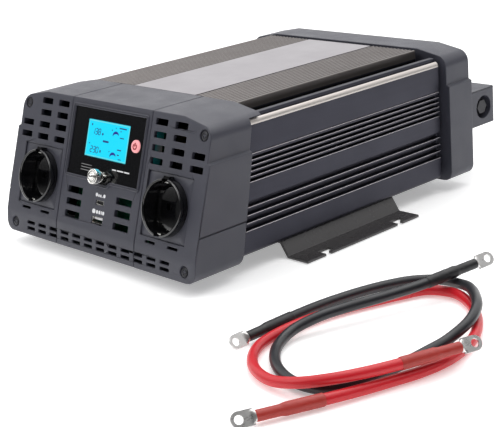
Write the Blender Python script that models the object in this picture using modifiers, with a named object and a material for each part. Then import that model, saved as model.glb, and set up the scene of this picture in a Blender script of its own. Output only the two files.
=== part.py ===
"""Power inverter: two finned aluminium shells between two plastic end caps, with its battery leads.

Metres, +Z up. The front panel faces -Y, the battery terminals +Y. The origin is on the floor under
the middle of the inverter, without its loose leads.
"""

import math

import bmesh
import bpy
from mathutils import Matrix, Vector

# Driving dimensions ---------------------------------------------------------
GAP = 0.0003                    # between touching pieces
WALL = 0.003                    # plastic wall of the caps

RIDGE_Y, RIDGE_Z = -0.192, 0.0285   # the line where the leaning front panel meets its lower band
PANEL_LEAN = math.radians(18.3)
BAND_LEAN = math.radians(8.6)     # the band under the ridge leans less

CAP_LOW, CAP_UP = 0.1215, 0.1185    # half widths under and over the side ledge
CAP_BOTTOM, CAP_TOP = 0.0100, 0.127
LEDGE_Z = 0.096
SHOULDER_X = 0.0865             # where the flat top ends and the shoulder slope begins
CORNER_R, CORNER_Z = 0.011, 0.112
SEAM_LEAN = math.radians(12.5)  # rear edge of the front cap's sides
SEAM_Y, SEAM_Z = -0.120, 0.124
TONGUE_Y, TONGUE_Z = -0.108, 0.1198  # rear edge of the front cap's flat top

BODY_X = 0.1139                 # half width of the aluminium body
BODY_BOTTOM, BODY_TOP = 0.0133, 0.1264
RAIL_R, RAIL_Z, FOOT_R = 0.0045, 0.1145, 0.004  # round edges of the body, top and bottom
SPLIT_Z = 0.0922                # line between the two shells
BODY_FRONT, BODY_BACK = -0.130, 0.108
LOW_FRONT = -0.146
FIN_DEPTH, FIN_WIDTH = 0.0050, 0.0017
UPPER_FINS = (0.0705, 0.0915, 5)    # from, to, number of grooves
LOWER_FINS = (0.0330, 0.0575, 4)
BOARD_Z = 0.0210                # ledges inside the lower shell that carry the main board
PLATE_X, PLATE_THICK = 0.0380, 0.0008
TOP_RIBS, TOP_RIB_X = 12, 0.0889
CHANNEL_X, CHANNEL_FLOOR = 0.1035, 0.1140

REAR_FRONT, REAR_BACK = 0.113, 0.145
COLLAR_FRONT = 0.100            # the rear cap reaches this far into the shells
SOCKET_U, SOCKET_V, SOCKET_PROUD = 0.0811, 0.0331, 0.0060
SOCKET_OUT, SOCKET_WELL, WELL_DEPTH = 0.0223, 0.0203, 0.0172
RECESS = 0.0025                 # the square recess round each socket
PIN_PITCH, PIN_HOLE = 0.0190, 0.0028
WINDOW = (-0.0453, 0.0451, 0.0416, 0.0973)  # left, right, low, high on the panel
LCD = (-0.0266, 0.0255, 0.0588, 0.0882)
BUTTON_U, BUTTON_V, BUTTON_R = 0.0355, 0.0739, 0.0051
EARTH_U, EARTH_V, EARTH_HOLE = 0.0005, 0.0445, 0.0048
TERMINAL_X, TERMINAL_Z = 0.091, 0.063   # centre of each battery terminal block
TERMINAL_SIZE = (0.038, 0.0495, 0.033)
BOLT_Y = 0.0072                 # the clamping bolt, behind the block's middle
BRACKET_Y, BRACKET_LENGTH = -0.0245, 0.137
FAN_X, FAN_Z, FAN_SIZE, FAN_DEPTH = 0.032, 0.064, 0.060, 0.020
LEAD_R, SLEEVE_R = 0.00375, 0.0045

STAND = Matrix.Rotation(math.pi / 2, 4, "X")        # local x, y, z become X, Z, -Y
PANEL = Matrix.Translation((0, RIDGE_Y, RIDGE_Z)) @ Matrix.Rotation(math.pi / 2 - PANEL_LEAN, 4, "X")


# Scene and helpers ----------------------------------------------------------
for old in list(bpy.data.objects):
    bpy.data.objects.remove(old, do_unlink=True)
PARTS = bpy.data.collections.new("power_inverter")
CUTTERS = bpy.data.collections.new("cutters")
bpy.context.scene.collection.children.link(PARTS)
bpy.context.scene.collection.children.link(CUTTERS)


def material(name, color, roughness, metallic=0.0):
    made = bpy.data.materials.new(name)
    made.use_nodes = True
    shader = made.node_tree.nodes["Principled BSDF"]
    shader.inputs["Base Color"].default_value = (*color, 1.0)
    shader.inputs["Roughness"].default_value = roughness
    shader.inputs["Metallic"].default_value = metallic
    return made


CASE = ("case_plastic", (0.075, 0.075, 0.090), 0.55)
ALUMINIUM = ("anodised_aluminium", (0.045, 0.045, 0.060), 0.42, 0.7)
PLATE = ("satin_plate", (0.62, 0.58, 0.62), 0.35, 0.5)
GLOSS = ("gloss_black", (0.004, 0.004, 0.005), 0.12)
LCD_BLUE = ("lcd", (0.01, 0.60, 0.85), 0.3)
STEEL = ("nickelled_steel", (0.60, 0.60, 0.58), 0.3, 1.0)
BRASS = ("brass", (0.70, 0.50, 0.20), 0.35, 1.0)
BOARD = ("green_board", (0.01, 0.12, 0.06), 0.5)
COPPER = ("copper", (0.60, 0.25, 0.10), 0.35, 1.0)
FERRITE = ("ferrite_and_tape", (0.35, 0.28, 0.05), 0.6)
BLACK_PLASTIC = ("black_plastic", (0.012, 0.012, 0.014), 0.5)
RED_RUBBER = ("red_cable", (0.55, 0.012, 0.02), 0.42)
BLACK_RUBBER = ("black_cable", (0.012, 0.013, 0.016), 0.42)
GLOW = ("button_glow", (0.9, 0.35, 0.35), 0.3)


def place(name, mesh, finish, matrix=Matrix.Identity(4)):
    """One named object in the part's collection, with a material of its own."""
    made = bpy.data.objects.new(name, mesh)
    made.data.materials.append(material(name + "_" + finish[0], *finish[1:]))
    made.matrix_world = matrix
    PARTS.objects.link(made)
    return made


def cutter(name, mesh, matrix=Matrix.Identity(4)):
    made = bpy.data.objects.new(name, mesh)
    made.matrix_world = matrix
    made.hide_render = True
    made.display_type = "WIRE"
    CUTTERS.objects.link(made)
    return made


def boolean(target, tool):
    step = target.modifiers.new(tool.name, "BOOLEAN")
    step.operation = "DIFFERENCE"
    step.solver = "EXACT"
    step.object = tool


def add_box(bm, centre, size, turn=Matrix.Identity(4)):
    scale = Matrix.Diagonal((*size, 1.0))
    bmesh.ops.create_cube(bm, size=1.0, matrix=Matrix.Translation(centre) @ turn @ scale)


def add_rod(bm, centre, radius, length, axis="Z", sides=24, tip=None):
    """A cylinder or cone about axis; tip is the radius at the far end."""
    turn = {"Z": Matrix.Identity(4), "X": Matrix.Rotation(math.pi / 2, 4, "Y"),
            "Y": Matrix.Rotation(-math.pi / 2, 4, "X")}[axis]
    bmesh.ops.create_cone(bm, cap_ends=True, segments=sides, radius1=radius,
                          radius2=radius if tip is None else tip, depth=length,
                          matrix=Matrix.Translation(centre) @ turn)


def finish_mesh(bm, name, sharp=35.0):
    mesh = bpy.data.meshes.new(name)
    bm.to_mesh(mesh)
    bm.free()
    mesh.shade_smooth()
    mesh.set_sharp_from_angle(angle=math.radians(sharp))
    return mesh


def boxes(name, *items):
    """A mesh of separate boxes, each given as (centre, size)."""
    bm = bmesh.new()
    for centre, size in items:
        add_box(bm, centre, size)
    return finish_mesh(bm, name)


def rods(name, *items, axis="Z", sides=24):
    """A mesh of separate cylinders, each given as (centre, radius, length)."""
    bm = bmesh.new()
    for centre, radius, length in items:
        add_rod(bm, centre, radius, length, axis, sides)
    return finish_mesh(bm, name)


def as_mesh(curve, name):
    """The welded mesh of a curve, which is then removed."""
    holder = bpy.data.objects.new(name, curve)
    CUTTERS.objects.link(holder)
    bpy.context.view_layer.update()
    mesh = bpy.data.meshes.new_from_object(holder.evaluated_get(bpy.context.evaluated_depsgraph_get()))
    bpy.data.objects.remove(holder)
    bm = bmesh.new()
    bm.from_mesh(mesh)
    bmesh.ops.remove_doubles(bm, verts=bm.verts, dist=0.000001)
    bpy.data.meshes.remove(mesh)
    return finish_mesh(bm, name)


def slab(name, outline, low, high, holes=()):
    """The outline, given as (x, y) points, extruded along local z from low to high."""
    curve = bpy.data.curves.new(name, "CURVE")
    curve.dimensions = "2D"
    curve.fill_mode = "BOTH"
    curve.extrude = (high - low) / 2
    for loop in (outline, *holes):
        spline = curve.splines.new("POLY")
        spline.points.add(len(loop) - 1)
        for point, (x, y) in zip(spline.points, loop):
            point.co = (x, y, 0, 1)
        spline.use_cyclic_u = True
    mesh = as_mesh(curve, name)
    mesh.transform(Matrix.Translation((0, 0, (low + high) / 2)))
    return mesh


def tube(name, points, radius, resolution=2):
    """A closed round tube through the points."""
    curve = bpy.data.curves.new(name, "CURVE")
    curve.dimensions = "3D"
    curve.bevel_depth = radius
    curve.bevel_resolution = resolution
    curve.use_fill_caps = True
    spline = curve.splines.new("POLY")
    spline.points.add(len(points) - 1)
    for point, place_at in zip(spline.points, points):
        point.co = (*place_at, 1)
    return as_mesh(curve, name)


def turned(name, profile, finish, matrix=Matrix.Identity(4), steps=32):
    """A profile of (radius, height) points, from the top of its outer side down, turned about local z."""
    bm = bmesh.new()
    made = [bm.verts.new((radius, 0, height)) for radius, height in profile]
    for first, second in zip(made, made[1:]):
        bm.edges.new((first, second))
    mesh = bpy.data.meshes.new(name)
    bm.to_mesh(mesh)
    bm.free()
    result = place(name, mesh, finish, matrix)
    screw = result.modifiers.new("turn", "SCREW")
    screw.steps = screw.render_steps = steps
    screw.use_merge_vertices = True
    screw.merge_threshold = 0.00001
    screw.use_smooth_shade = True
    return result


def arc(x, y, radius, start, end, count=6):
    """Points round a centre, from the start angle to the end angle in degrees."""
    angles = [math.radians(start + (end - start) * i / count) for i in range(count + 1)]
    return [(x + radius * math.cos(a), y + radius * math.sin(a)) for a in angles]


def rounded(left, right, low, high, radius, count=4):
    """A rectangle with round corners, anticlockwise."""
    return (arc(right - radius, low + radius, radius, -90, 0, count)
            + arc(right - radius, high - radius, radius, 0, 90, count)
            + arc(left + radius, high - radius, radius, 90, 180, count)
            + arc(left + radius, low + radius, radius, 180, 270, count))


def both_sides(half):
    """A right half outline, bottom to top, closed with its mirror image."""
    return half + [(-x, y) for x, y in reversed(half)]


def on_panel(u, v, h=0.0):
    """Matrix of a place on the leaning front panel: u across, v up the slope, h out of it."""
    return PANEL @ Matrix.Translation((u, v, h))


# End caps -------------------------------------------------------------------
def cap_outline(inset=0.0, low=CAP_LOW, up=CAP_UP):
    """The caps' front view: round lower corners, a ledge, round upper corners, sloping shoulders."""
    low, up, foot = low - inset, up - inset, 0.009 - inset / 2
    half = arc(low - foot, CAP_BOTTOM + inset + foot, foot, -90, 0, 5)
    half += [(low, LEDGE_Z), (up, LEDGE_Z + 0.0012)]
    half += arc(CAP_UP - CORNER_R, CORNER_Z, CORNER_R - inset, 0, 78, 6)
    half += [(SHOULDER_X - inset * 0.1, CAP_TOP - inset)]
    return both_sides(half)


def cap_hollow():
    """The front cap's inside: the aluminium body's outline and a gap, under a thin top wall."""
    half = arc(BODY_X - FOOT_R, BODY_BOTTOM + FOOT_R, FOOT_R + GAP, -90, 0, 5)
    half += arc(BODY_X - RAIL_R, RAIL_Z, RAIL_R + GAP, 0, 78, 6)
    return both_sides(half + [(SHOULDER_X - WALL * 0.1, CAP_TOP - WALL)])


def seam_y(z):
    """Rear edge of the front cap's sides at a height."""
    return SEAM_Y - (SEAM_Z - z) * math.tan(SEAM_LEAN)


def cut_plane(mesh, point, normal):
    """Remove what lies on the normal's side of a plane and close the mesh there."""
    bm = bmesh.new()
    bm.from_mesh(mesh)
    everything = bm.verts[:] + bm.edges[:] + bm.faces[:]
    result = bmesh.ops.bisect_plane(bm, geom=everything, plane_co=point, plane_no=normal,
                                    clear_outer=True, dist=0.0000001)
    rim = [item for item in result["geom_cut"] if isinstance(item, bmesh.types.BMEdge)]
    bmesh.ops.edgeloop_fill(bm, edges=rim)
    bmesh.ops.recalc_face_normals(bm, faces=bm.faces)
    bm.to_mesh(mesh)
    bm.free()
    return mesh


def cap_block(name, outline, behind):
    """An outline between the leaning front faces, set back by behind."""
    mesh = slab(name, outline, 0.100, 0.215)
    mesh.transform(STAND)
    shift = Vector((0, behind, 0))
    ridge = Vector((0, RIDGE_Y, RIDGE_Z)) + shift
    cut_plane(mesh, ridge, (0, -math.cos(PANEL_LEAN), math.sin(PANEL_LEAN)))
    return cut_plane(mesh, ridge, (0, -math.cos(BAND_LEAN), math.sin(BAND_LEAN)))


def side_prism(name, points, half_width):
    """A (y, z) outline extruded across X."""
    mesh = slab(name, points, -half_width, half_width)
    mesh.transform(Matrix(((0, 0, 1, 0), (1, 0, 0, 0), (0, 1, 0, 0), (0, 0, 0, 1))))
    return mesh


VENT_ROWS = (0.0962, 0.0862, 0.0761, 0.0661)
VENT_COLUMNS = (0.0620, 0.0847, 0.1075)
VENT_SIZE = (0.0140, 0.0051)
LOW_VENT_ROWS = (0.0293, 0.0193, 0.0092)
LOW_VENT_SIZE = (0.0190, 0.0056)
BAND_SLOTS, BAND_PITCH, BAND_SLOT = 12, 0.0157, (0.0105, 0.0026)
CAP_SCREWS = ((0.1103, 0.0921, 0.0), (0.1088, -0.0100, -0.0017))     # the lower pair sit in the band


def vent_places():
    """Centres of the slots beside the display: two columns in the upper rows, three below."""
    for side in (-1, 1):
        for row, v in enumerate(VENT_ROWS):
            for column, u in enumerate(VENT_COLUMNS):
                if row > 1 or column < 2:
                    yield side * u, v


def front_cap():
    cap = place("front_cap", cap_block("front_cap", cap_outline(), 0.0), CASE)
    rear = side_prism("front_cap_rear", [
        (seam_y(-0.01), -0.01), (0.02, -0.01), (0.02, 0.14), (TONGUE_Y, 0.14),
        (TONGUE_Y, TONGUE_Z), (seam_y(TONGUE_Z), TONGUE_Z)], 0.14)
    boolean(cap, cutter("front_cap_rear", rear))
    boolean(cap, cutter("front_cap_hollow", cap_block("front_cap_hollow", cap_hollow(), 0.0035)))
    holes = bmesh.new()
    for u, v in vent_places():
        add_box(holes, (u, v, 0), (*VENT_SIZE, 0.02))
    for side in (-1, 1):
        for v in LOW_VENT_ROWS:
            add_box(holes, (side * 0.0312, v, 0), (*LOW_VENT_SIZE, 0.02))
        for offset in (-0.013, 0.013):
            add_box(holes, (side * SOCKET_U + offset, 0.0047, 0), (0.0115, 0.0022, 0.02))
    for row in (-0.0075, -0.0125):
        for i in range(BAND_SLOTS):
            u = (i - (BAND_SLOTS - 1) / 2) * BAND_PITCH
            add_box(holes, (u, row, -0.001), (*BAND_SLOT, 0.02))
    add_box(holes, (0.0019, 0.0240, 0), (0.0100, 0.0040, 0.03))
    add_box(holes, (0.0015, 0.0100, 0), (0.0136, 0.0062, 0.03))
    left, right, low, high = WINDOW
    add_box(holes, ((left + right) / 2, (low + high) / 2 + 0.0016, 0),
            (right - left, high - low - 0.0030, 0.02))
    boolean(cap, cutter("front_cap_holes", finish_mesh(holes, "front_cap_holes"), PANEL))
    recess = bmesh.new()
    for side in (-1, 1):
        add_box(recess, (side * SOCKET_U, 0.0338, 0.005 - RECESS), (0.0510, 0.0505, 0.010))
        for u, v, h in CAP_SCREWS:
            add_rod(recess, (side * u, v, h + 0.0035), 0.0046, 0.011, sides=20)
            add_rod(recess, (side * u, v, h - 0.006), 0.0022, 0.011, sides=20)
    boolean(cap, cutter("front_cap_recess", finish_mesh(recess, "front_cap_recess"), PANEL))
    bores = [((side * SOCKET_U, SOCKET_V, 0), SOCKET_OUT + GAP, 0.03) for side in (-1, 1)]
    bores.append(((EARTH_U, EARTH_V, 0), EARTH_HOLE, 0.03))
    boolean(cap, cutter("front_cap_bores", rods("front_cap_bores", *bores, sides=40), PANEL))


def collar_outline(inset):
    """The ring of the rear cap that reaches inside the two shells."""
    slack = inset + GAP
    return both_sides([
        (0.0940 - slack, BODY_BOTTOM + 0.003 + slack), (0.0940 - slack, BOARD_Z + slack),
        (0.1064 - slack, BOARD_Z + slack), (0.1064 - slack, 0.1110 - slack),
        (0.0868 - slack * 0.8, 0.1110 - slack), (0.0850 - slack, 0.1225 - slack)])


def rear_cap():
    shell = slab("rear_cap", cap_outline(), -REAR_BACK, -COLLAR_FRONT)
    shell.transform(STAND)
    cap = place("rear_cap", shell, CASE)
    around = slab("rear_cap_around", rounded(-0.14, 0.14, -0.01, 0.15, 0.01, 1),
                  -REAR_FRONT, 0.01 - COLLAR_FRONT, [collar_outline(0.0)])
    around.transform(STAND)
    boolean(cap, cutter("rear_cap_around", around))
    inside = slab("rear_cap_inside", collar_outline(WALL), -REAR_FRONT - WALL - 0.001, 0.01 - COLLAR_FRONT)
    inside.transform(STAND)
    boolean(cap, cutter("rear_cap_inside", inside))
    hollow = slab("rear_cap_hollow", cap_outline(0.0085), -REAR_BACK + WALL, -REAR_FRONT - WALL)
    hollow.transform(STAND)
    boolean(cap, cutter("rear_cap_hollow", hollow))
    holes = bmesh.new()
    for side in (-1, 1):
        for i in range(9):
            z = FAN_Z + (i - 4) * 0.0062
            width = 2 * math.sqrt(0.0275 ** 2 - (z - FAN_Z) ** 2)
            add_box(holes, (side * FAN_X, REAR_BACK, z), (width, 0.02, 0.0034))
        add_box(holes, (side * TERMINAL_X, REAR_BACK, TERMINAL_Z), (0.020, 0.03, 0.012))
        for z in (0.0215, 0.1120):
            add_rod(holes, (side * 0.1065, REAR_BACK, z), 0.0022, 0.03, "Y", 16)
    boolean(cap, cutter("rear_cap_holes", finish_mesh(holes, "rear_cap_holes")))


# Aluminium body -------------------------------------------------------------
def grooves(first, last, count):
    """Side outline, upwards, with deep grooves that leave thin fins between them."""
    pitch = (last - first) / count
    points = []
    for i in range(count):
        z = first + i * pitch
        points += [(BODY_X, z), (BODY_X - FIN_DEPTH, z),
                   (BODY_X - FIN_DEPTH, z + pitch - FIN_WIDTH), (BODY_X, z + pitch - FIN_WIDTH)]
    return points


def upper_outline():
    """Shoulder rail, channel, ribbed top and plate seat over a thin inner wall."""
    pitch = (TOP_RIB_X - PLATE_X - 0.0008) / TOP_RIBS
    outer = [(BODY_X, SPLIT_Z + GAP)]
    outer += arc(BODY_X - RAIL_R, RAIL_Z, RAIL_R, 0, 65, 4)
    outer += [(0.1105, 0.1170), (0.1095, 0.1170), (0.1095, 0.1205), (0.1088, 0.1212),
              (CHANNEL_X + 0.0010, 0.1212), (CHANNEL_X, 0.1204), (CHANNEL_X, CHANNEL_FLOOR),
              (TOP_RIB_X + 0.0006, CHANNEL_FLOOR), (TOP_RIB_X, BODY_TOP - 0.0008)]
    for i in range(TOP_RIBS):
        x = TOP_RIB_X - i * pitch
        outer += [(x - pitch * 0.14, BODY_TOP), (x - pitch * 0.52, BODY_TOP),
                  (x - pitch * 0.66, BODY_TOP - 0.0012), (x - pitch, BODY_TOP - 0.0012)]
    seat = BODY_TOP - PLATE_THICK - GAP
    outer += [(PLATE_X + GAP, BODY_TOP - 0.0006), (PLATE_X + GAP, seat)]
    inner = [(0.1080, SPLIT_Z + GAP), (0.1080, 0.1110), (0.0868, 0.1110), (0.0850, 0.1225)]
    return outer, inner


def lower_outline():
    outer = arc(BODY_X - FOOT_R, BODY_BOTTOM + FOOT_R, FOOT_R, -90, 0, 4)
    outer += grooves(*LOWER_FINS) + grooves(*UPPER_FINS)
    outer += [(BODY_X, SPLIT_Z - 0.0002), (0.1120, SPLIT_Z)]
    inner = [(0.1064, SPLIT_Z), (0.1064, BOARD_Z), (0.0940, BOARD_Z), (0.0940, BODY_BOTTOM + 0.003)]
    return outer, inner


def shells():
    outer, inner = upper_outline()
    loop = outer + [(-x, z) for x, z in reversed(outer)] + [(-x, z) for x, z in inner] + inner[::-1]
    mesh = slab("upper_shell", loop, -BODY_BACK, -BODY_FRONT)
    mesh.transform(STAND)
    upper = place("upper_shell", mesh, ALUMINIUM)
    top = boxes("upper_shell_front", ((0, TONGUE_Y + GAP - 0.05, TONGUE_Z + 0.0088), (0.3, 0.1, 0.02)))
    boolean(upper, cutter("upper_shell_front", top))
    outer, inner = lower_outline()
    loop = outer + inner + [(-x, z) for x, z in reversed(inner)] + [(-x, z) for x, z in reversed(outer)]
    mesh = slab("lower_shell", loop, -BODY_BACK, -LOW_FRONT)
    mesh.transform(STAND)
    place("lower_shell", mesh, ALUMINIUM)
    length = BODY_BACK - TONGUE_Y - GAP - 0.0004
    plate = boxes("top_plate", ((0, 0, -PLATE_THICK / 2), (2 * PLATE_X, length, PLATE_THICK)))
    middle = (BODY_BACK + TONGUE_Y) / 2
    place("top_plate", plate, PLATE, Matrix.Translation((0, middle, BODY_TOP - 0.0001)))


# Front panel ----------------------------------------------------------------
def display():
    left, right, low, high = WINDOW
    pane = slab("display_window", rounded(left + GAP, right - GAP, low + 0.0034, high - GAP, 0.0012),
                -0.0030, -0.0004)
    window = place("display_window", pane, GLOSS, PANEL)
    holes = bmesh.new()
    add_rod(holes, (BUTTON_U, BUTTON_V, 0), BUTTON_R + GAP, 0.02, sides=28)
    add_rod(holes, (EARTH_U, EARTH_V, 0), EARTH_HOLE, 0.02, sides=20)
    u0, u1, v0, v1 = LCD
    add_box(holes, ((u0 + u1) / 2, (v0 + v1) / 2, 0), (u1 - u0 + 2 * GAP, v1 - v0 + 2 * GAP, 0.02))
    boolean(window, cutter("display_window_holes", finish_mesh(holes, "display_window_holes"), PANEL))
    screen = boxes("lcd_module",
                   (((u0 + u1) / 2, (v0 + v1) / 2, -0.0024), (u1 - u0, v1 - v0, 0.0034)))
    place("lcd_module", screen, LCD_BLUE, PANEL)
    button = bmesh.new()
    add_rod(button, (0, 0, -0.0028), BUTTON_R, 0.0056, sides=28)
    place("power_button", finish_mesh(button, "power_button"), GLOW, on_panel(BUTTON_U, BUTTON_V, 0.0006))


def earth_terminal():
    """A threaded stud through the bezel's notch, with a washer and a thumb nut on it."""
    at = on_panel(EARTH_U, EARTH_V)
    stud = [(0, 0.0128), (0.0018, 0.0128), (0.0022, 0.0124), (0.0022, -0.0010),
            (0.0040, -0.0010), (0.0040, -0.0161), (0, -0.0161)]
    turned("earth_stud", stud, STEEL, at, 20)
    ring = [(0.0046, 0.0032), (0.0046, 0.0022), (0.0024, 0.0022), (0.0024, 0.0032), (0.0046, 0.0032)]
    turned("earth_washer", ring, STEEL, at, 24)
    nut = [(0.0062, 0.0102), (0.0062, 0.0062), (0.0040, 0.0056), (0.0040, 0.0036), (0.0024, 0.0036),
           (0.0024, 0.0108), (0.0054, 0.0108), (0.0062, 0.0102)]
    turned("earth_nut", nut, STEEL, at, 24)


def sockets():
    floor = SOCKET_PROUD - WELL_DEPTH
    for side, word in ((-1, "left"), (1, "right")):
        at = on_panel(side * SOCKET_U, SOCKET_V)
        profile = [(SOCKET_OUT - 0.0004, SOCKET_PROUD), (SOCKET_OUT, SOCKET_PROUD - 0.0006),
                   (SOCKET_OUT, floor - 0.0035), (0, floor - 0.0035), (0, floor),
                   (SOCKET_WELL - 0.0004, floor), (SOCKET_WELL, SOCKET_PROUD),
                   (SOCKET_OUT - 0.0004, SOCKET_PROUD)]
        body = turned("socket_" + word, profile, GLOSS, at, 40)
        holes = bmesh.new()
        for pin in (-1, 1):
            add_rod(holes, (pin * PIN_PITCH / 2, 0, floor), PIN_HOLE, 0.02, sides=16)
            add_box(holes, (0, pin * 0.0206, SOCKET_PROUD - 0.0075), (0.0064, 0.0050, 0.0200))
        boolean(body, cutter("socket_%s_holes" % word, finish_mesh(holes, "holes"), at))
        for pin, end in ((-1, "low"), (1, "top")):
            name = "earth_clip_%s_%s" % (word, end)
            clip = boxes(name, ((0, pin * 0.0197, -0.0030), (0.0040, 0.0010, 0.0130)))
            place(name, clip, STEEL, at)
        shutter = slab("shutter_" + word, rounded(-0.0135, 0.0135, -0.0042, 0.0042, 0.0040),
                       floor - 0.0060, floor - 0.0040)
        place("shutter_" + word, shutter, BLACK_PLASTIC, at)
        for pin, hand in ((-1, "a"), (1, "b")):
            name = "contact_%s_%s" % (word, hand)
            contact = rods(name, ((pin * PIN_PITCH / 2, 0, floor - 0.0145), 0.0034, 0.0120), sides=16)
            place(name, contact, BRASS, at)


def ports():
    shell = slab("usb_c_port", rounded(-0.0047, 0.0047, -0.0017, 0.0017, 0.0016), -0.0090, -0.0006,
                 [rounded(-0.0042, 0.0042, -0.0012, 0.0012, 0.0011)])
    place("usb_c_port", shell, STEEL, on_panel(0.0019, 0.0240))
    shell = slab("usb_a_port", rounded(-0.0065, 0.0065, -0.0028, 0.0028, 0.0004, 1), -0.0140, -0.0006,
                 [rounded(-0.0061, 0.0061, -0.0024, 0.0024, 0.0003, 1)])
    place("usb_a_port", shell, STEEL, on_panel(0.0015, 0.0100))
    board = slab("front_board", rounded(-0.0480, 0.0480, -0.0010, 0.0900, 0.001, 1), -0.0180, -0.0164)
    place("front_board", board, BOARD, PANEL)


def merge_parts(holder):
    """Join the overlapping solids inside one mesh with an empty cut."""
    far = cutter(holder.name + "_join", boxes("join", ((0, 0, -1.0), (0.01, 0.01, 0.01))))
    boolean(holder, far)
    holder.modifiers[-1].use_self = True


# Inside ---------------------------------------------------------------------
def power_stage():
    board_z = BOARD_Z + GAP + 0.0008
    place("main_board", boxes("main_board", ((0, -0.018, board_z), (0.210, 0.206, 0.0016))), BOARD)
    top = board_z + 0.0008 + GAP
    for x, word in ((-0.056, "left"), (0.0, "middle"), (0.056, "right")):
        name = "transformer_" + word
        place(name, boxes(name, ((x, 0.030, top + 0.019), (0.042, 0.046, 0.038))), FERRITE)
    cans = bmesh.new()
    add_box(cans, (0, -0.046, top + 0.001), (0.092, 0.044, 0.002))
    for x in (-0.036, -0.012, 0.012, 0.036):
        for y in (-0.058, -0.034):
            add_rod(cans, (x, y, top + 0.017), 0.0095, 0.032, sides=16)
    merge_parts(place("capacitor_bank", finish_mesh(cans, "capacitor_bank"), BLACK_PLASTIC))
    for side, word in ((-1, "left"), (1, "right")):
        bar = boxes("cooling_bar_" + word, ((side * 0.0885, -0.012, top + 0.020), (0.006, 0.180, 0.040)))
        place("cooling_bar_" + word, bar, ALUMINIUM)
        chips = bmesh.new()
        add_box(chips, (side * 0.0800, -0.056, top + 0.012), (0.0020, 0.0700, 0.0060))
        for y in (-0.080, -0.056, -0.032):
            add_box(chips, (side * 0.0828, y, top + 0.012), (0.0046, 0.0150, 0.0200))
        merge_parts(place("power_transistors_" + word, finish_mesh(chips, "chips"), BLACK_PLASTIC))
    ring = [(0.0165, 0.0150), (0.0165, 0.0), (0.0085, 0.0), (0.0085, 0.0150), (0.0165, 0.0150)]
    turned("filter_choke", ring, COPPER, Matrix.Translation((0.0, -0.092, top)), 24)


def fans():
    y = REAR_BACK - WALL - GAP - FAN_DEPTH - 0.002
    for side, word in ((-1, "left"), (1, "right")):
        at = Matrix.Translation((side * FAN_X, y, FAN_Z)) @ Matrix.Rotation(-math.pi / 2, 4, "X")
        half = FAN_SIZE / 2 - 0.0002
        frame = slab("fan_frame_" + word, rounded(-half, half, -half, half, 0.003), 0.002,
                     0.002 + FAN_DEPTH, [arc(0, 0, 0.0280, 0, 345, 23)])
        struts = bmesh.new()
        struts.from_mesh(frame)
        add_rod(struts, (0, 0, 0.0207), 0.0105, 0.0024, sides=20)
        for arm in range(3):
            turn = Matrix.Rotation(math.tau * arm / 3 + 0.5, 4, "Z")
            bmesh.ops.create_cube(struts, size=1.0, matrix=turn @ Matrix.Translation((0.0190, 0, 0.0207))
                                  @ Matrix.Diagonal((0.0210, 0.0030, 0.0020, 1.0)))
        merge_parts(place("fan_frame_" + word, finish_mesh(struts, "fan_frame"), BLACK_PLASTIC, at))
        rotor = bmesh.new()
        add_rod(rotor, (0, 0, 0.0125), 0.0105, 0.0130, sides=20)
        for blade in range(7):
            turn = Matrix.Rotation(math.tau * blade / 7, 4, "Z")
            tilt = Matrix.Rotation(math.radians(38), 4, "X")
            scale = Matrix.Diagonal((0.0180, 0.0160, 0.0014, 1.0))
            centre = Matrix.Translation((0.0180, 0, 0.0125))
            bmesh.ops.create_cube(rotor, size=1.0, matrix=turn @ centre @ tilt @ scale)
        merge_parts(place("fan_rotor_" + word, finish_mesh(rotor, "fan_rotor"), BLACK_PLASTIC, at))


# Battery terminals ----------------------------------------------------------
def terminals():
    """A block with a slot for a ring lug in its rear face and a clamping bolt from the side."""
    width, depth, height = TERMINAL_SIZE
    for side, word in ((-1, "left"), (1, "right")):
        middle = REAR_BACK + GAP + depth / 2
        at = Matrix.Translation((side * TERMINAL_X, middle, TERMINAL_Z))
        half_w, half_d = width / 2, depth / 2
        outline = (arc(half_w - 0.004, half_d - 0.004, 0.004, 0, 90, 4)
                   + arc(-half_w + 0.004, half_d - 0.004, 0.004, 90, 180, 4)
                   + [(-half_w, -half_d), (half_w, -half_d)])
        block = place("terminal_" + word, slab("terminal", outline, -height / 2, height / 2), CASE, at)
        corner = block.modifiers.new("soft edges", "BEVEL")
        corner.width = 0.0012
        corner.segments = 2
        corner.angle_limit = math.radians(60)
        corner.limit_method = "ANGLE"
        holes = bmesh.new()
        add_rod(holes, (side * 0.0208, BOLT_Y, 0), 0.0105, 0.0220, "X", 28)
        add_rod(holes, (side * 0.0080, BOLT_Y, 0), 0.0042, 0.0060, "X", 16)
        add_box(holes, (side * 0.0022, 0.0120, 0), (0.0100, 0.060, 0.0200))
        add_box(holes, (-side * 0.0010, -0.0220, 0), (0.0036, 0.0200, 0.0111))
        boolean(block, cutter("terminal_%s_holes" % word, finish_mesh(holes, "holes"), at))
        block.modifiers[-1].use_self = True
        strip = boxes("bus_bar_" + word, ((-side * 0.0010, -0.0090, 0), (0.0030, 0.0560, 0.0105)))
        place("bus_bar_" + word, strip, COPPER, at)
        bolt_at = at @ Matrix.Translation((0, BOLT_Y, 0))
        turn = Matrix.Rotation(side * math.pi / 2, 4, "Y")
        washer = [(0.0078, 0.0016), (0.0078, 0), (0.0042, 0), (0.0042, 0.0016), (0.0078, 0.0016)]
        seat = bolt_at @ turn @ Matrix.Translation((0, 0, 0.0101))
        turned("bolt_washer_" + word, washer, STEEL, seat, 24)
        bolt = bmesh.new()
        add_rod(bolt, (0, 0, 0.0045), 0.0070, 0.0050, sides=6)
        add_rod(bolt, (0, 0, -0.0033), 0.0038, 0.0112, sides=16)
        holder = place("terminal_bolt_" + word, finish_mesh(bolt, "bolt"), STEEL, seat)
        merge_parts(holder)


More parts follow.
